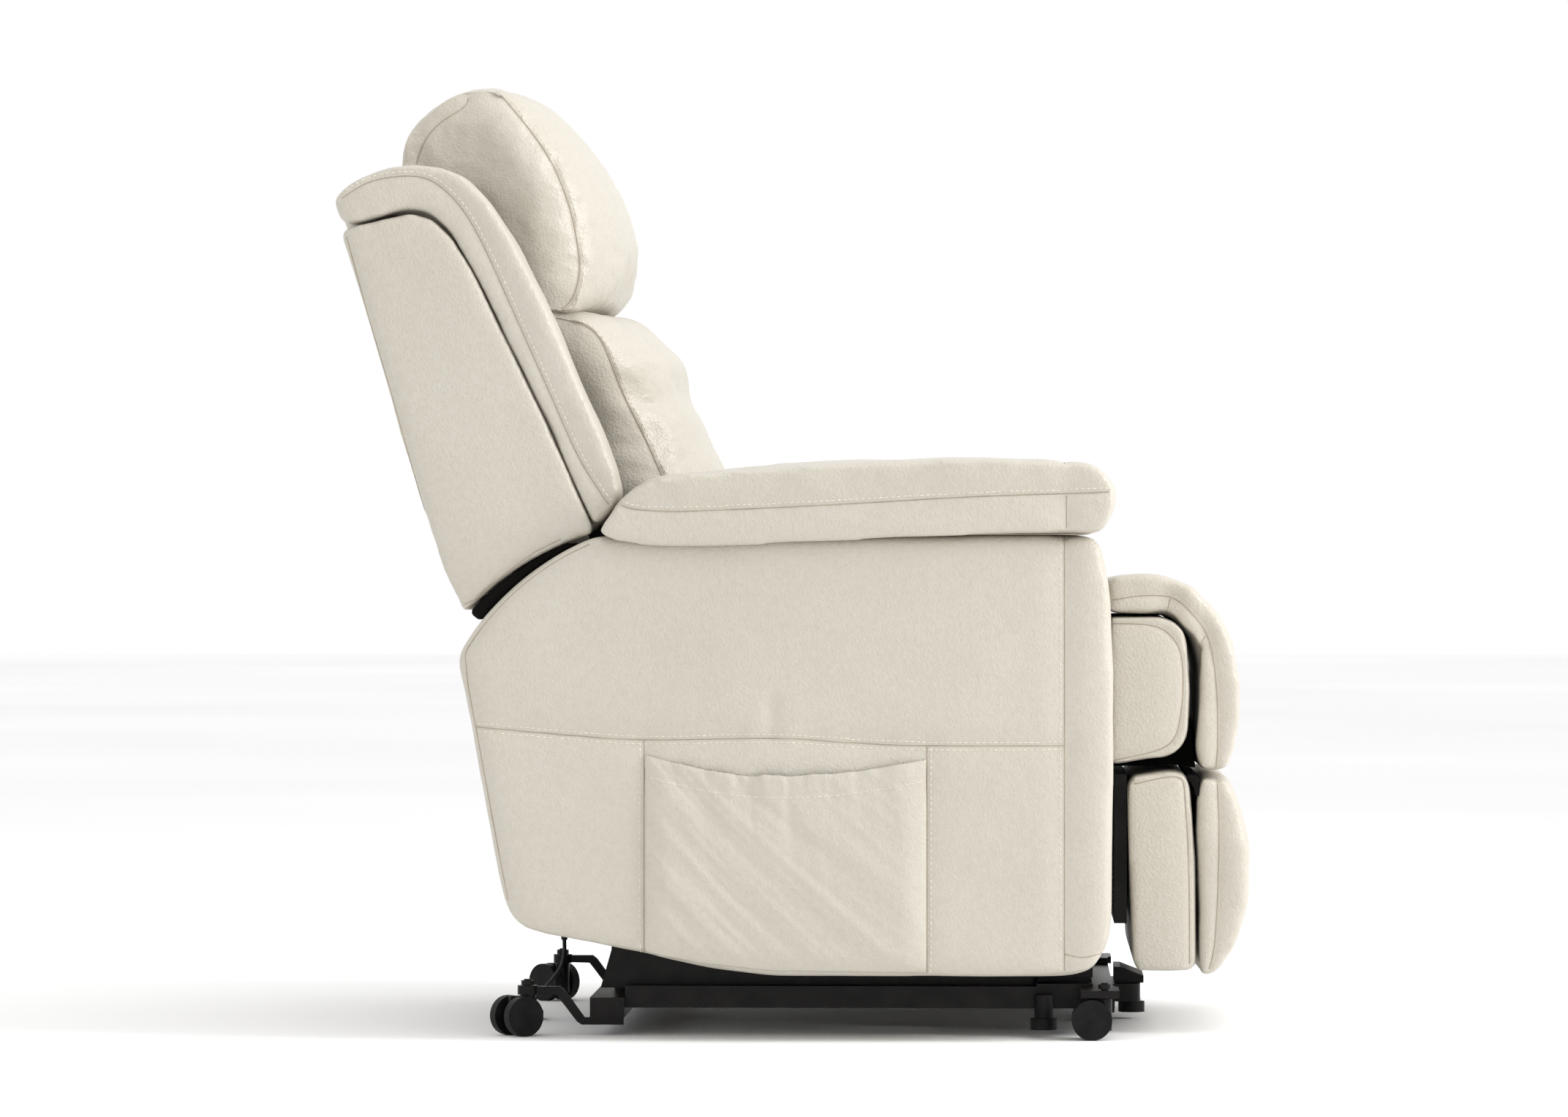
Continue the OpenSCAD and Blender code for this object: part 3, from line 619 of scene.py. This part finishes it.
# ------------------------------------------------------------------ the power lead
LEAD_D = 4.5
ROUTE = [(-267, -60, 92), (-267, -60, 77), (-270, -60, 63), (-279, -60, 49), (-291, -60, 35),
         (-302, -61, 23), (-310, -63, 13), (-318, -64, 6), (-326, -63, 2.9)]
COIL = (-324, -32.6)
RADII = [27.4, 22.8, 18.2, 18.2, 22.8, 27.4, 27.4, 22.8, 18.2, 18.2]
LEVEL = [2.3, 2.3, 2.3, 6.9, 6.9, 6.9, 11.5, 11.5, 11.5, 11.5]
SHIFT = [0.8, 0.8, 0.6, 0.4, 0.4, 0.2, 0.0, 0.0, 0.9]
coil = []
for k in range(0, int(8.1 * 30)):
    turn, u = divmod(k / 30, 1)
    turn = int(turn)
    e = min(1, max(0, (u - SHIFT[turn]) / 0.2))
    e = e * e * (3 - 2 * e)
    r = RADII[turn] + (RADII[turn + 1] - RADII[turn]) * e
    h = LEVEL[turn] + (LEVEL[turn + 1] - LEVEL[turn]) * e
    a = math.radians(-115 - 360 * (k / 30))
    coil.append((COIL[0] + r * math.cos(a), COIL[1] + r * math.sin(a), h))
TAIL = [(-342, -26, 13), (-342, -17, 16), (-341.6, -8, 16.2), (-341, 2, 13.5), (-339, 12, 8.6),
    (-337, 20, 7), (-337, 25, 7)]
lead_points = spline(ROUTE + coil[1::3] + TAIL, 4) / 1000
curve = bpy.data.curves.new("power_lead_cord", "CURVE")
curve.dimensions = "3D"
curve.bevel_depth = LEAD_D / 2000
curve.bevel_resolution = 4
curve.use_fill_caps = True
run = curve.splines.new("POLY")
run.points.add(len(lead_points) - 1)
for point, q in zip(run.points, lead_points):
    point.co = (*q, 1)
lead = link("power_lead_cord", curve)
lead.data.materials.append(M["lead_sheath"])


def turned(name, profile, axis, at, n=40):
    """A lathe shape: profile is (distance along axis, radius), in mm."""
    axis = np.array(axis, float)
    up = np.array([0, 0, 1.0]) if abs(axis[2]) < 0.9 else np.array([1.0, 0, 0])
    a = np.cross(axis, up)
    a /= np.linalg.norm(a)
    b = np.cross(axis, a)
    verts = []
    for d, r in profile:
        for s in range(n):
            t = 2 * math.pi * s / n
            verts.append((np.array(at) + d * axis + r * (math.cos(t) * a + math.sin(t) * b)) / 1000)
    m = len(profile)
    faces = [[k * n + s, k * n + (s + 1) % n, (k + 1) * n + (s + 1) % n, (k + 1) * n + s]
        for k in range(m - 1) for s in range(n)]
    faces += [list(range(n))[::-1], [(m - 1) * n + s for s in range(n)]]
    return build(name, verts, faces)


# Plug: ribbed strain relief, moulded body with a waist, two round pins
relief = [(0, 2.5)]
for k in range(6):
    r = 3.1 + 0.32 * k
    relief += [(1 + k * 3.4, r), (3.2 + k * 3.4, r + 0.1), (3.4 + k * 3.4, r - 0.7),
        (4.2 + k * 3.4, r - 0.7)]
relief.append((22, 5))
plug_relief = turned("plug_strain_relief", relief, (0, 1, 0), (-337, 20, 7))
rows = []
for d, w, h in ((21, 6, 5.5), (23, 9.5, 6.5), (28, 13.2, 7), (36, 12.4, 6.7), (46, 14.6, 7), (54, 15, 7),
    (56, 14.2, 6.4)):
    rows.append([(-337 + w * math.copysign(abs(math.cos(t)) ** 0.5, math.cos(t)), 20 + d,
        7 + h * math.copysign(abs(math.sin(t)) ** 0.5, math.sin(t)))
        for t in np.linspace(0, 2 * math.pi, 40, endpoint=False)])
verts = np.array([p for row in rows for p in row]) / 1000
faces = [[k * 40 + s, k * 40 + (s + 1) % 40, (k + 1) * 40 + (s + 1) % 40, (k + 1) * 40 + s]
    for k in range(6) for s in range(40)]
faces += [list(range(40)), [240 + s for s in range(40)][::-1]]
plug_body = build("plug_body", verts, faces)
pins = [turned(f"plug_pin_{k}", [(0, 2), (9, 2), (9.1, 1.9), (17.5, 1.9), (18.6, 1.4), (19, 0.6)],
    (0, 1, 0), (x, 75.5, 7), 24) for k, x in enumerate((-346.5, -327.5))]
for o, key in ((plug_relief, "lead_sheath"), (plug_body, "black_plastic"),
    *[(p, "bright_steel") for p in pins]):
    outward(o)
    o.data.materials.append(M[key])
    shade(o)
    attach(o, "base")
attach(lead, "base")
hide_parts("power_lead", "power_lead_coil")
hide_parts("power_plug")
verts, faces = [], []
loop = [(COIL[0] + 22.8 + 8.2 * math.cos(t), COIL[1], 7.6 + 7.0 * math.sin(t))
    for t in np.linspace(0, 2 * math.pi, 40)]
tube_along(verts, faces, np.array(loop) / 1000, 0.00055, 6)
tie = build("lead_tie", verts, faces)
co = co_of(tie)
co[:, 1] = COIL[1] / 1000 + (co[:, 1] - COIL[1] / 1000) * 4.5
set_co(tie, co)
tie.data.materials.append(M["black_plastic"])
shade(tie)
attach(tie, "base")

# ------------------------------------------------------------------ soft pieces
def both(path, rows=(), depth=1.8, y=-600, to=(0, 1, 0)):
    """The same seam on the right and on the left."""
    right = [(x, y, z) for x, z in path]
    left = [(x, -y, z) for x, z in path]
    return [(right, to, rows, depth), (left, (0, -to[1], 0), tuple(-r for r in rows), depth)]


def pull_in(ob, by):
    """Moves the surface inward by so many mm, to leave room for what the cloth swells."""
    set_co(ob, co_of(ob) - normals(ob) * by / 1000)


def ease(t):
    t = np.clip(t, 0, 1)
    return t * t * (3 - 2 * t)


def crown(ob, axis, high, half=262, power=4, mask=None):
    """Raises the middle of the width along axis, in mm."""
    co = co_of(ob)
    w = np.clip(1 - np.abs(co[:, 1] * 1000 / half) ** power, 0, 1)
    if mask is not None:
        w = w * mask(co * 1000)
    set_co(ob, co + np.array(axis) * (w * high / 1000)[:, None])


# Head cushion: full across the top, its side seam from the crown down the front edge
HEAD_SIDE = [(-444, 940), (-446, 975), (-431, 1002), (-405, 1026), (-378, 1042), (-345, 1048), (-322, 1039),
    (-287, 999), (-261, 960), (-244, 917), (-234, 873), (-231, 839), (-238, 799), (-257, 786), (-306, 804),
    (-361, 896), (-402, 938)]
HEAD_MID = [(-444, 940), (-446, 975), (-431, 1002), (-405, 1029), (-378, 1049), (-342, 1059), (-297, 1042),
    (-261, 1011), (-225, 957), (-203, 903), (-193, 850), (-194, 818), (-206, 795), (-232, 785), (-262, 786),
    (-306, 804), (-361, 896), (-402, 938)]
head = loft("head_cushion", HEAD_SIDE, HEAD_MID, 280, 5, 3.4)
remesh(head, 7, 4)
pull_in(head, 6)
inflate(head, 4.0, 13)
co = co_of(head)
co[:, 1] = np.clip(co[:, 1], -0.2868, 0.2868)
set_co(head, co)
finer(head)
ripple(head, 3.2, 7, (1, 0.7, 1.4), seed=3.0)
ripple(head, 1.1, 30, (1, 0.8, 1.6), seed=9.0)
HEAD_SEAM = spline([(-325, 1039), (-318, 1031), (-290, 997), (-265, 958), (-248, 914), (-239, 872),
    (-237, 840), (-245, 812), (-262, 796)], 5)
threads = sew(head, both(HEAD_SEAM, (5,), 2.6) + both(spline([(-359, 1034), (-363, 1024), (-386, 1010),
    (-402, 995), (-412, 978), (-417, 962)], 4), (), 1.8))
settle(head, threads, "backrest", ("head_pillow",), fill=0.75)

# Lumbar cushion, narrower where it goes down between the arms
LUMBAR_SIDE = [(-290, 806), (-268, 803), (-240, 799), (-219, 786), (-203, 761), (-184, 709), (-158, 657),
    (-140, 618), (-125, 585), (-112, 545), (-108, 505), (-116, 482), (-132, 478), (-160, 505), (-192, 562),
    (-232, 640)]
LUMBAR_MID = [(-290, 806), (-257, 802), (-212, 799), (-186, 787), (-166, 769), (-142, 746), (-136, 706),
    (-122, 682), (-108, 650), (-90, 616), (-79, 560), (-80, 512), (-96, 480), (-128, 476), (-160, 503),
    (-232, 640)]
lumbar = loft("lumbar_cushion", LUMBAR_SIDE, LUMBAR_MID, 280, 5, 3.0)
remesh(lumbar, 7, 5)
co = co_of(lumbar)
co[:, 1] *= 1 - 0.112 * ease((0.790 - co[:, 2]) / 0.145)
set_co(lumbar, co)
pull_in(lumbar, 5)
inflate(lumbar, 4.0, 11)
finer(lumbar)
ripple(lumbar, 3.5, 8, (1, 0.8, 1.5), seed=21.0)
ripple(lumbar, 1.5, 26, (0.8, 0.35, 1.8), mask=lambda p: ease((np.abs(p[:, 1]) - 130) / 90) * ease((p[:,
    0] + 215) / 40), seed=5.0)
co = co_of(lumbar)
limit = 0.2868 - 0.037 * ease((0.760 - co[:, 2]) / 0.115)
co[:, 1] = np.clip(co[:, 1], -limit, limit)
set_co(lumbar, co)
LUMBAR_SEAM = spline([(-262, 791), (-240, 786), (-222, 777), (-209, 758), (-190, 708), (-165, 656),
    (-147, 616), (-132, 586), (-120, 545)], 4)
threads = sew(lumbar, both(LUMBAR_SEAM, (5,), 2.6))
settle(lumbar, threads, "backrest", ("lumbar_pillow",), fill=0.65)

# Padded roll round the back's front edge, with a seam down its middle
wings = copy_of("back_wings", "back_wing_rolls")
remesh(wings, 6, 12, 0.6)
finer(wings)
ripple(wings, 2.4, 9, (1, 1, 1), seed=40.0)
WING_SEAM = [(-489, 918), (-458, 936), (-416, 942), (-388, 935), (-360, 909), (-335, 867), (-300, 790),
    (-266, 714), (-232, 638), (-207, 597), (-198, 584)]
threads = sew(wings, both(spline(WING_SEAM, 6), (5,), 2.4))
settle(wings, threads, "backrest", ("back_wings",), fill=0.8)

# Outer back: side panels and rear, with its rear seams
outer = copy_of("back_outer_shell", "back_outer_cover")
remesh(outer, 6, 7)
finer(outer)
co = co_of(outer)
REAR_X = np.interp(co[:, 2], (0.464, 0.519, 0.612, 0.706, 0.791, 0.884, 0.918),
    (-0.358, -0.382, -0.407, -0.433, -0.458, -0.486, -0.497))
FRONT_X = np.interp(co[:, 2], (0.546, 0.666, 0.754, 0.839, 0.875, 0.895),
    (-0.222, -0.267, -0.309, -0.352, -0.374, -0.395))
share = np.clip((co[:, 0] - REAR_X) / (FRONT_X - REAR_X), 0, 1)
co[:, 0] -= 0.006 * (1 - share) ** 2 * ease((co[:, 2] - 0.49) / 0.2)
co[:, 0] += 0.0045 * share ** 3 * ease((np.abs(co[:, 1]) - 0.34) / 0.02)
set_co(outer, co)
ripple(outer, 2.0, 6, (1, 1, 1), mask=lambda p: ease((np.abs(p[:, 1]) - 366) / 12), seed=60.0)
REAR = [[(-700, y, z) for z in (486, 620, 760, 906)] for y in (-346, 346)]
threads = sew(outer, [(REAR[0], (1, 0, 0), (-5,), 1.8), (REAR[1], (1, 0, 0), (5,), 1.8),
    ([(-700, y, 872) for y in (-338, 0, 338)], (1, 0, 0), (5,), 1.6)] + both([(-363, 476), (-382, 519),
    (-409, 612), (-435.5, 706), (-461, 791), (-484, 876)], (),
    1.4) + both([(-362, 472), (-338, 483), (-312, 508), (-279, 532), (-250, 546)], (), 1.2))
settle(outer, threads, "backrest", ("back_outer_shell",), fill=0.9)

under = copy_of("back_underside", "back_underside_cloth")
remesh(under, 4.5, 3)
settle(under, (), "backrest", ("back_underside",), mat="black_fabric", slot="black_fabric", fill=0.9)

# Black cloth from behind the seat, under the backrest's swing, to the top of the rear panel
rows, cols = 70, 60
grid = []
for i in range(rows):
    for k in range(cols):
        u = k / (cols - 1)
        w = i / (rows - 1)
        deg = 158.5 - 68.5 * w
        a = math.radians(deg)
        sag = 0.004 * math.sin(math.pi * w) * (1 + 0.4 * math.sin(13 * u + 5 * w))
        r = 0.190 + 0.066 * float(ease((deg - 146) / 12.5)) - sag
        grid.append((PIVOT[0] / 1000 + r * math.cos(a), -0.238 + 0.476 * u,
            PIVOT[1] / 1000 + r * math.sin(a)))
faces = [[i * cols + k, i * cols + k + 1, (i + 1) * cols + k + 1, (i + 1) * cols + k]
    for i in range(rows - 1) for k in range(cols - 1)]
gap = build("rear_gap_cloth", grid, faces)
thicken(gap, 0.0015)
settle(gap, (), "chair", mat="black_fabric", slot="black_fabric")

# Arms: outer panel, front facing and rear edge
ARM = [(-205, 549.5)] + arc(PIVOT, 296.5, 111, 151, 14) + [(-355, 383), (-346, 336), (-336, 281),
    (-322, 205), (-311, 154), (-303, 137), (-288, 124), (-260, 117), (-209, 106), (-150, 93), (-86, 79),
    (-19, 71), (45, 71), (150, 71), (305, 71), (329, 79), (344, 103), (349, 128), (350, 280), (350, 408),
    (346, 493), (339, 534), (331, 549), (298, 551)]
arm = slab("arm_right_cover", ARM, -409, -261.5)
remesh(arm, 7, 14)
co = co_of(arm)
out = ease((-co[:, 1] * 1000 - 390) / 14)
swell = np.sin(np.clip((co[:, 0] * 1000 + 340) / 690, 0, 1) * math.pi)
swell *= np.sin(np.clip((co[:, 2] * 1000 - 70) / 480, 0, 1) * math.pi)
co[:, 1] -= out * swell * 0.0025
set_co(arm, co)
finer(arm)
ripple(arm, 2.6, 4.5, (1, 0.3, 1.3), mask=lambda p: ease((-p[:, 1] - 380) / 20), seed=80.0)
H = spline([(-340, 342), (-250, 334), (-158, 328), (-18, 330), (70, 325), (147, 322), (297, 322)], 6)
seams = [([(x, -600, z) for x, z in H], (0, 1, 0), (-4.5, 4.5), 2.6),
    ([(298, -600, z) for z in (550, 322, 78)], (0, 1, 0), (-5,), 2.8),
    ([(x, -600, z) for x, z in arc(PIVOT, 290.5, 113, 149, 16) + [(-349, 383), (-340, 336), (-330, 281),
    (-316, 205), (-306, 154)]], (0, 1, 0), (), 1.3), ([(298, -100, z) for z in (486, 322, 84)], (0, -1, 0),
    (5,), 2.0), ([(-158, -600, z) for z in (327, 300, 96)], (0, 1, 0), (-4.5,), 1.6),
    ([(149, -600, z) for z in (321, 300, 76)], (0, 1, 0), (4.5,), 1.6),
    ([(x, -600, z) for x, z in ((298, 96), (318, 92), (338, 97))], (0, 1, 0), (), 1.5)]
bvh = tree_of(arm)
groove(arm, [clean_line(trace(bvh, [(-19, -600, z) for z in range(370, 332, -3)], (0, 1, 0)))], 2.2, 9)
groove(arm, [clean_line(trace(bvh, [(x, -600, 336) for x in range(-40, 4, 3)], (0, 1, 0)))], -1.6, 14)
threads = sew(arm, seams)
left = mirrored(arm, "arm_left_cover")
more = [mirrored(t, t.name.replace("right", "left")) for t in threads]
settle(left, more, "chair", ("arm_left_shell",), fill=0.9)
cut = build("cut", [(x, y, z) for x in (0.1405, 0.2355) for y in (-0.2765, -0.2) for z in (0.4865, 0.5275)],
            [[0, 1, 3, 2], [4, 6, 7, 5], [0, 4, 5, 1], [2, 3, 7, 6], [0, 2, 6, 4], [1, 5, 7, 3]])
m = arm.modifiers.new("b", "BOOLEAN")
m.operation, m.object, m.solver = "DIFFERENCE", cut, "EXACT"
bake(arm)
bpy.data.objects.remove(cut)
arm.data.materials.clear()
settle(arm, threads, "chair", ("arm_right_shell",), fill=0.9)

# Arm pads
PAD = [(-207, 553), (-196, 572), (-184, 588), (-160, 604), (-133, 612), (-75, 619), (-6, 624), (79, 628),
    (164, 630), (249, 630), (308, 629), (333, 622), (347, 608), (353, 594), (349, 574), (341, 558),
    (332, 552.5)]
pad = slab("arm_right_pad_cover", [tuple(p) for p in spline(PAD, 5)] + [(160, 552.5), (0, 552.5)], -421,
    -251)
LIP = [(-206, 553), (-190, 578), (300, 580), (345, 580), (338, 555), (298, 554), (164, 549), (79, 545),
    (-6, 541), (-90, 537), (-133, 537), (-175, 541), (-198, 547)]
lip = slab("lip", LIP, -421, -408.5)
bm = bmesh.new()
bm.from_mesh(pad.data)
bm.from_mesh(lip.data)
bm.to_mesh(pad.data)
bm.free()
bpy.data.objects.remove(lip)
remesh(pad, 5, 9)
co = co_of(pad)
top = ease((co[:, 2] * 1000 - 585) / 25)
co[:, 2] += top * 0.004 * np.clip(1 - ((co[:, 1] + 0.336) / 0.085) ** 2, -0.5, 1)
set_co(pad, co)
finer(pad)
ripple(pad, 2.2, 8, (1, 1, 1), mask=lambda p: ease((p[:, 2] - 562) / 12), seed=101.0)
ripple(pad, 0.9, 34, (0.6, 1, 1.4), mask=lambda p: ease((p[:, 2] - 562) / 12), seed=120.0)
P = spline([(-188, 586), (-176, 580), (-155, 577), (-120, 576), (-75, 577.5), (-6, 580.5), (79, 585),
    (164, 590), (230, 593), (295, 595), (325, 596), (346, 597)], 5)
threads = sew(pad, [([(x, -600, z) for x, z in P], (0, 1, 0), (5,), 2.6),
    ([(x, -80, z) for x, z in P], (0, -1, 0), (-5,), 2.4), ([(300, -600, z) for z in (593, 558)], (0, 1, 0),
    (), 2.2), ([(298, y, 800) for y in (-410, -336, -262)], (0, 0, -1), (5,), 2.2)])
settle(pad, threads, "chair", ("arm_right_pad",), fill=0.85)
pair(pad, threads, "arm_left_pad_cover", body="chair", nodes=("arm_left_pad",), fill=0.85)

# Side pocket: a gathered leather sheet sewn on at its sides and bottom
NU, NV = 152, 112
low = lambda x: float(np.interp(x, [-157, -86, -20, 147], [97, 85, 78, 76]))
hem = spline([(-157, 312), (-118, 302), (-70, 293), (-18, 289), (25, 290), (62, 293), (110, 300),
    (148, 307)], 20)
front = []
arm_bvh = tree_of(arm)
for j in range(NV):
    v = j / (NV - 1)
    for i in range(NU):
        u = i / (NU - 1)
        x = -157 + 305 * u
        z0, z1 = low(x), float(np.interp(x, hem[:, 0], hem[:, 1]))
        side_in = min(1.0, min(u, 1 - u) / 0.09)
        edge = math.sin(side_in * math.pi / 2) ** 0.8
        foot = math.sin(min(1.0, v / 0.12) * math.pi / 2) ** 0.8
        near_top = math.exp(-(1 - v) * 4.2)
        middle = math.exp(-((u - 0.52) / 0.26) ** 2)
        ruffle = noise.fractal(Vector((13 * u + 0.8 * v, 1.4 * v, 2.0)), 0.8, 2.2, 2)
        gather = 3.0 * ruffle * near_top * (0.35 + middle)
        slant = 7.5 * (u * 0.82 + (v - 1) * 0.62)
        fold = noise.fractal(Vector((slant, 0.7 * (v * 0.8 - u * 0.6), 7.3)), 0.9, 2.1, 3)
        fold *= 1.15 - 0.7 * u
        hit = arm_bvh.ray_cast(Vector((x / 1000, -0.6, min(z0 + (z1 - z0) * v, 318) / 1000)),
            Vector((0, 1, 0)))
        wall = hit[0].y * 1000 if hit[0] is not None else -409.0
        stand = 1.5 + edge * foot * max(0.6, 4.6 + 2.0 * math.sin(math.pi * v) + gather + 3.6 * fold)
        roll = 1.2 * math.exp(-((1 - v) / 0.012) ** 2)
        front.append(((x + 0.3 * gather) / 1000, (max(wall - stand, -419.4) + roll) / 1000,
            (z0 + (z1 - z0) * v + 0.55 * gather * near_top) / 1000))
faces = [[j * NU + i, j * NU + i + 1, (j + 1) * NU + i + 1, (j + 1) * NU + i] for j in range(NV - 1)
    for i in range(NU - 1)]
pocket = build("side_pocket_sheet", front, faces)
thicken(pocket, 0.0021)
hem_row = [(x, z - 23) for x, z in hem[4:-4:3]]
threads = sew(pocket, [([(x, -600, z) for x, z in hem_row], (0, 1, 0), (0,), 0.7)])
settle(pocket, threads, "chair", ("side_pocket",))

# Seat cushion between the arms
seat = copy_of("seat_cushion", "seat_cushion_cover")
remesh(seat, 7, 9)
crown(seat, (0, 0, 1), 5, mask=lambda p: ease((p[:, 2] - 440) / 30) * ease((330 - p[:, 0]) / 60))
finer(seat)
ripple(seat, 3.0, 7, (1, 1, 1), mask=lambda p: ease((p[:, 2] - 440) / 30) * ease((335 - p[:, 0]) / 40),
    seed=140.0)
settle(seat, (), "chair", ("seat_cushion",), fill=0.7)

# Black sheets under the seat front and in the legrest's fold: painted shade, a dark fill for the crevices
# there
# Painted shade: a black sheet filling the crevice between the seat front and the legrest box.
seat_gap_shade_sheet = slab("seat_front_closing_cloth", [(352, 299), (352, 293.5), (392, 294.5), (428, 295),
    (445.5, 291.5), (442.5, 311), (441, 340), (439, 352), (437.5, 340), (434, 324), (423, 309), (396, 303)],
    -190, 190)
remesh(seat_gap_shade_sheet, 2.2, 1)
settle(seat_gap_shade_sheet, (), "chair", mat="black_fabric", slot="black_fabric", fill=0.4)
# Painted shade: a black sheet filling the fold between the legrest box and its pad.
fold_shade_sheet = slab("legrest_fold_cloth", [(433, 286), (447.5, 284), (447, 262), (443.5, 262), (441.5, 272)],
    -256, 256)
remesh(fold_shade_sheet, 1.8, 1)
settle(fold_shade_sheet, (), "legrest", mat="black_fabric", slot="black_fabric", fill=0.4)

# Chaise pad, bending from the seat down to the legrest
chaise = copy_of("chaise_bridge", "chaise_cover")
remesh(chaise, 6, 7)
finer(chaise)
ripple(chaise, 2.6, 9, (1, 0.8, 1), seed=150.0)
ripple(chaise, 1.3, 28, (0.5, 1.6, 0.5), mask=lambda p: ease((p[:, 2] - 380) / 60), seed=160.0)
C = spline([(352, 479), (386, 484), (417, 482), (438, 466), (457, 439), (466, 391), (468, 327), (466, 294)],
    5)
threads = sew(chaise, both(C, (), 2.4) + both([(415.5, 480), (413.5, 472), (411, 462)], (),
    4.5) + both([(454, 439), (450, 431), (444, 421)], (), 4.5))
settle(chaise, threads, None, ("chaise_bridge",), fill=0.7, blend=("chair", "legrest", (0.441, 0, 0.500),
    (0.490, 0, 0.390)))

leg_pad = copy_of("legrest_pad", "legrest_pad_cover")
remesh(leg_pad, 6, 8)
crown(leg_pad, (1, 0, 0), 4, mask=lambda p: ease((p[:, 0] - 465) / 20))
finer(leg_pad)
ripple(leg_pad, 2.8, 8, (1, 0.7, 1), seed=170.0)
L = spline([(467, 282), (469.5, 238), (468.5, 170), (465, 103), (459, 72)], 5)
threads = sew(leg_pad, both(L, (), 2.0))
settle(leg_pad, threads, "legrest", ("legrest_pad",), fill=0.8)

fascia = copy_of("seat_fascia", "seat_front_cover")
remesh(fascia, 5, 5)
finer(fascia)
F = spline([(352, 453), (372, 453), (396, 451), (413, 443), (427, 422), (430, 380), (425, 340), (416, 321),
    (394, 311), (353, 302)], 4)
threads = sew(fascia, both(F, (), 2.0))
settle(fascia, threads, "chair", ("seat_fascia",), fill=0.9)

box = copy_of("legrest_box", "legrest_box_cover")
remesh(box, 5, 5)
finer(box)
B = spline([(376, 276), (413, 284), (428, 282), (431, 272), (436, 190), (437, 78)], 4)
threads = sew(box, both(B, (), 1.8))
settle(box, threads, "legrest", ("legrest_box",), fill=0.9)

rear = copy_of("rear_panel", "rear_panel_cover")
remesh(rear, 4.5, 4)
finer(rear)
threads = sew(rear, [([(-600, y, 358) for y in (-255, 0, 255)], (1, 0, 0), (5,), 1.4),
    ([(-600, y, 164) for y in (-255, 0, 255)], (1, 0, 0), (-5,), 1.4)])
settle(rear, threads, "chair", ("rear_panel",), fill=0.9)

floor = build("floor", [(-30, -30, 0), (30, -30, 0), (30, 30, 0), (-30, 30, 0)], [[0, 1, 2, 3]])
floor.data.materials.append(plain("floor_white", (0.93, 0.93, 0.93), 0.8, scale=4, height=0.00001,
    spec=0.1))
